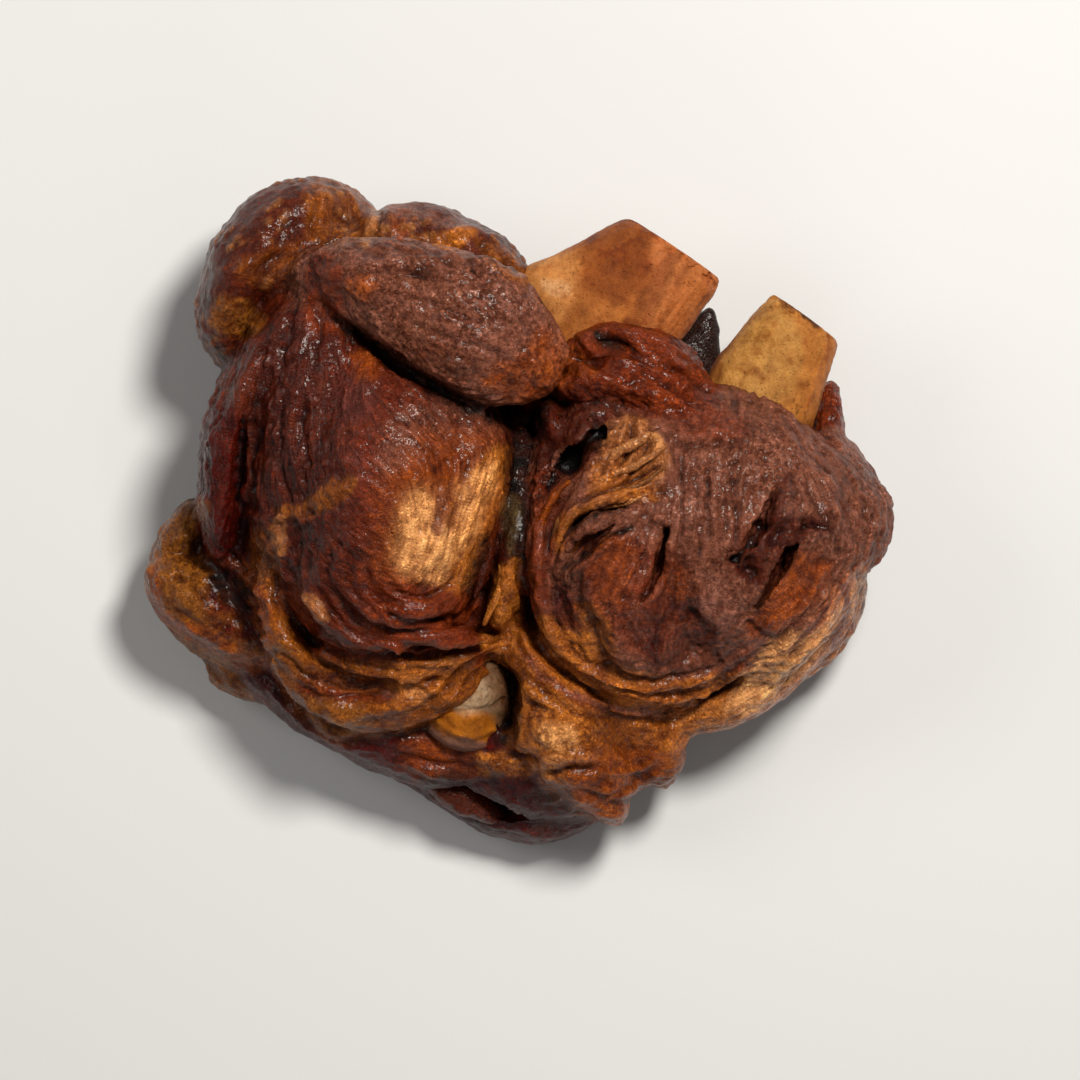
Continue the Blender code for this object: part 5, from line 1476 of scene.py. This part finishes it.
# Floor, light and camera. A lamp has its place, size across in metres, watts and colour
LAMPS = {
    "key": ((0.30, 0.42, 0.95), 0.26, 11.5, (1.0, 0.94, 0.86)),
    "fill": ((-0.75, 0.25, 0.80), 0.6, 2.2, (1.0, 0.95, 0.89)),
    "rim": ((0.20, -0.90, 0.45), 0.5, 1.2, (1.0, 0.94, 0.87)),
}
SKY_COLOUR, SKY_STRENGTH = (1.0, 0.97, 0.93, 1.0), 0.085
FLOOR_COLOUR, FLOOR_ROUGHNESS = (0.78, 0.80, 0.82, 1.0), 0.75
FLOOR_SIZE, FLOOR_DROP = 6.0, 0.0003
MIDDLE_HEIGHT = 0.040
VIEW_WIDTH, VIEW_DISTANCE = 0.270, 2.0
VIEW_CENTRE = (6.5, -6.6)       # the middle of the view in the tables' millimetres


def add_area(name, place, target, size, power, colour):
    lamp = bpy.data.lights.new(name, "AREA")
    lamp.shape = "DISK"
    lamp.size = size
    lamp.energy = power
    lamp.color = colour
    obj = bpy.data.objects.new(name, lamp)
    obj.location = place
    obj.rotation_euler = (Vector(target) - Vector(place)).to_track_quat("-Z", "Y").to_euler()
    bpy.context.scene.collection.objects.link(obj)


def make_stage(centre):
    bpy.ops.mesh.primitive_plane_add(size=FLOOR_SIZE, location=(0, 0, -FLOOR_DROP))
    floor = bpy.context.object
    floor.name = "floor"
    floor.data.materials.append(floor_material())
    world = bpy.context.scene.world or bpy.data.worlds.new("studio")
    bpy.context.scene.world = world
    world.use_nodes = True
    background = world.node_tree.nodes["Background"]
    background.inputs["Color"].default_value = SKY_COLOUR
    background.inputs["Strength"].default_value = SKY_STRENGTH
    bpy.context.scene.view_settings.view_transform = "Standard"
    for name, (place, size, power, colour) in LAMPS.items():
        add_area(name, place, (*centre, MIDDLE_HEIGHT), size, power, colour)


def make_camera(centre):
    """Straight above the leg, as the photo was taken."""
    camera = bpy.data.cameras.new("camera")
    camera.sensor_fit = "HORIZONTAL"
    camera.angle = 2 * math.atan(VIEW_WIDTH / 2 / VIEW_DISTANCE)
    obj = bpy.data.objects.new("camera", camera)
    obj.location = (*centre, MIDDLE_HEIGHT + VIEW_DISTANCE)
    bpy.context.scene.collection.objects.link(obj)
    bpy.context.scene.camera = obj


# The tables' origin is a little off the middle of the part's box
bone_points, _ = lobe(BONES["bone_wide"], CAD_BONE_GRAIN, SAWN_BLUNTNESS, SAW_CUTS["bone_wide"])
bone_box = np.array(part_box("bone_wide"))
shift = (bone_points.min(axis=0) + bone_points.max(axis=0)) / 2 - bone_box.mean(axis=0) / MM
shift[2] = 0.0
view_centre = [(place - move) * MM for place, move in zip(VIEW_CENTRE, shift)]
make_camera(view_centre)
make_stage(view_centre)

skin = make_skin()
weight, nearest = tissue_weights(skin)
ways = flow(skin)
height = relief(skin, weight, ways)
skin.points += skin.normals * height[:, None]
skin.points[:, 2] = np.maximum(skin.points[:, 2], 0.0)
skin.measure()
colour, wet, stringy = paint(skin, weight, ways)
extras = {"paint": ("FLOAT_COLOR", colour), "flow": ("FLOAT_VECTOR", ways),
          "wet": ("FLOAT", wet), "stringy": ("FLOAT", stringy)}
tissue = braised_material()
bone = bone_material()
for piece in [*split(skin, nearest, shift, extras, tissue), make_strips(shift, tissue)]:
    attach(piece, "root")
    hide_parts("meat")
for name in BONES:
    piece = make_bone(name, shift, bone)
    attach(piece, "root")
    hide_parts(name)

bpy.context.view_layer.update()
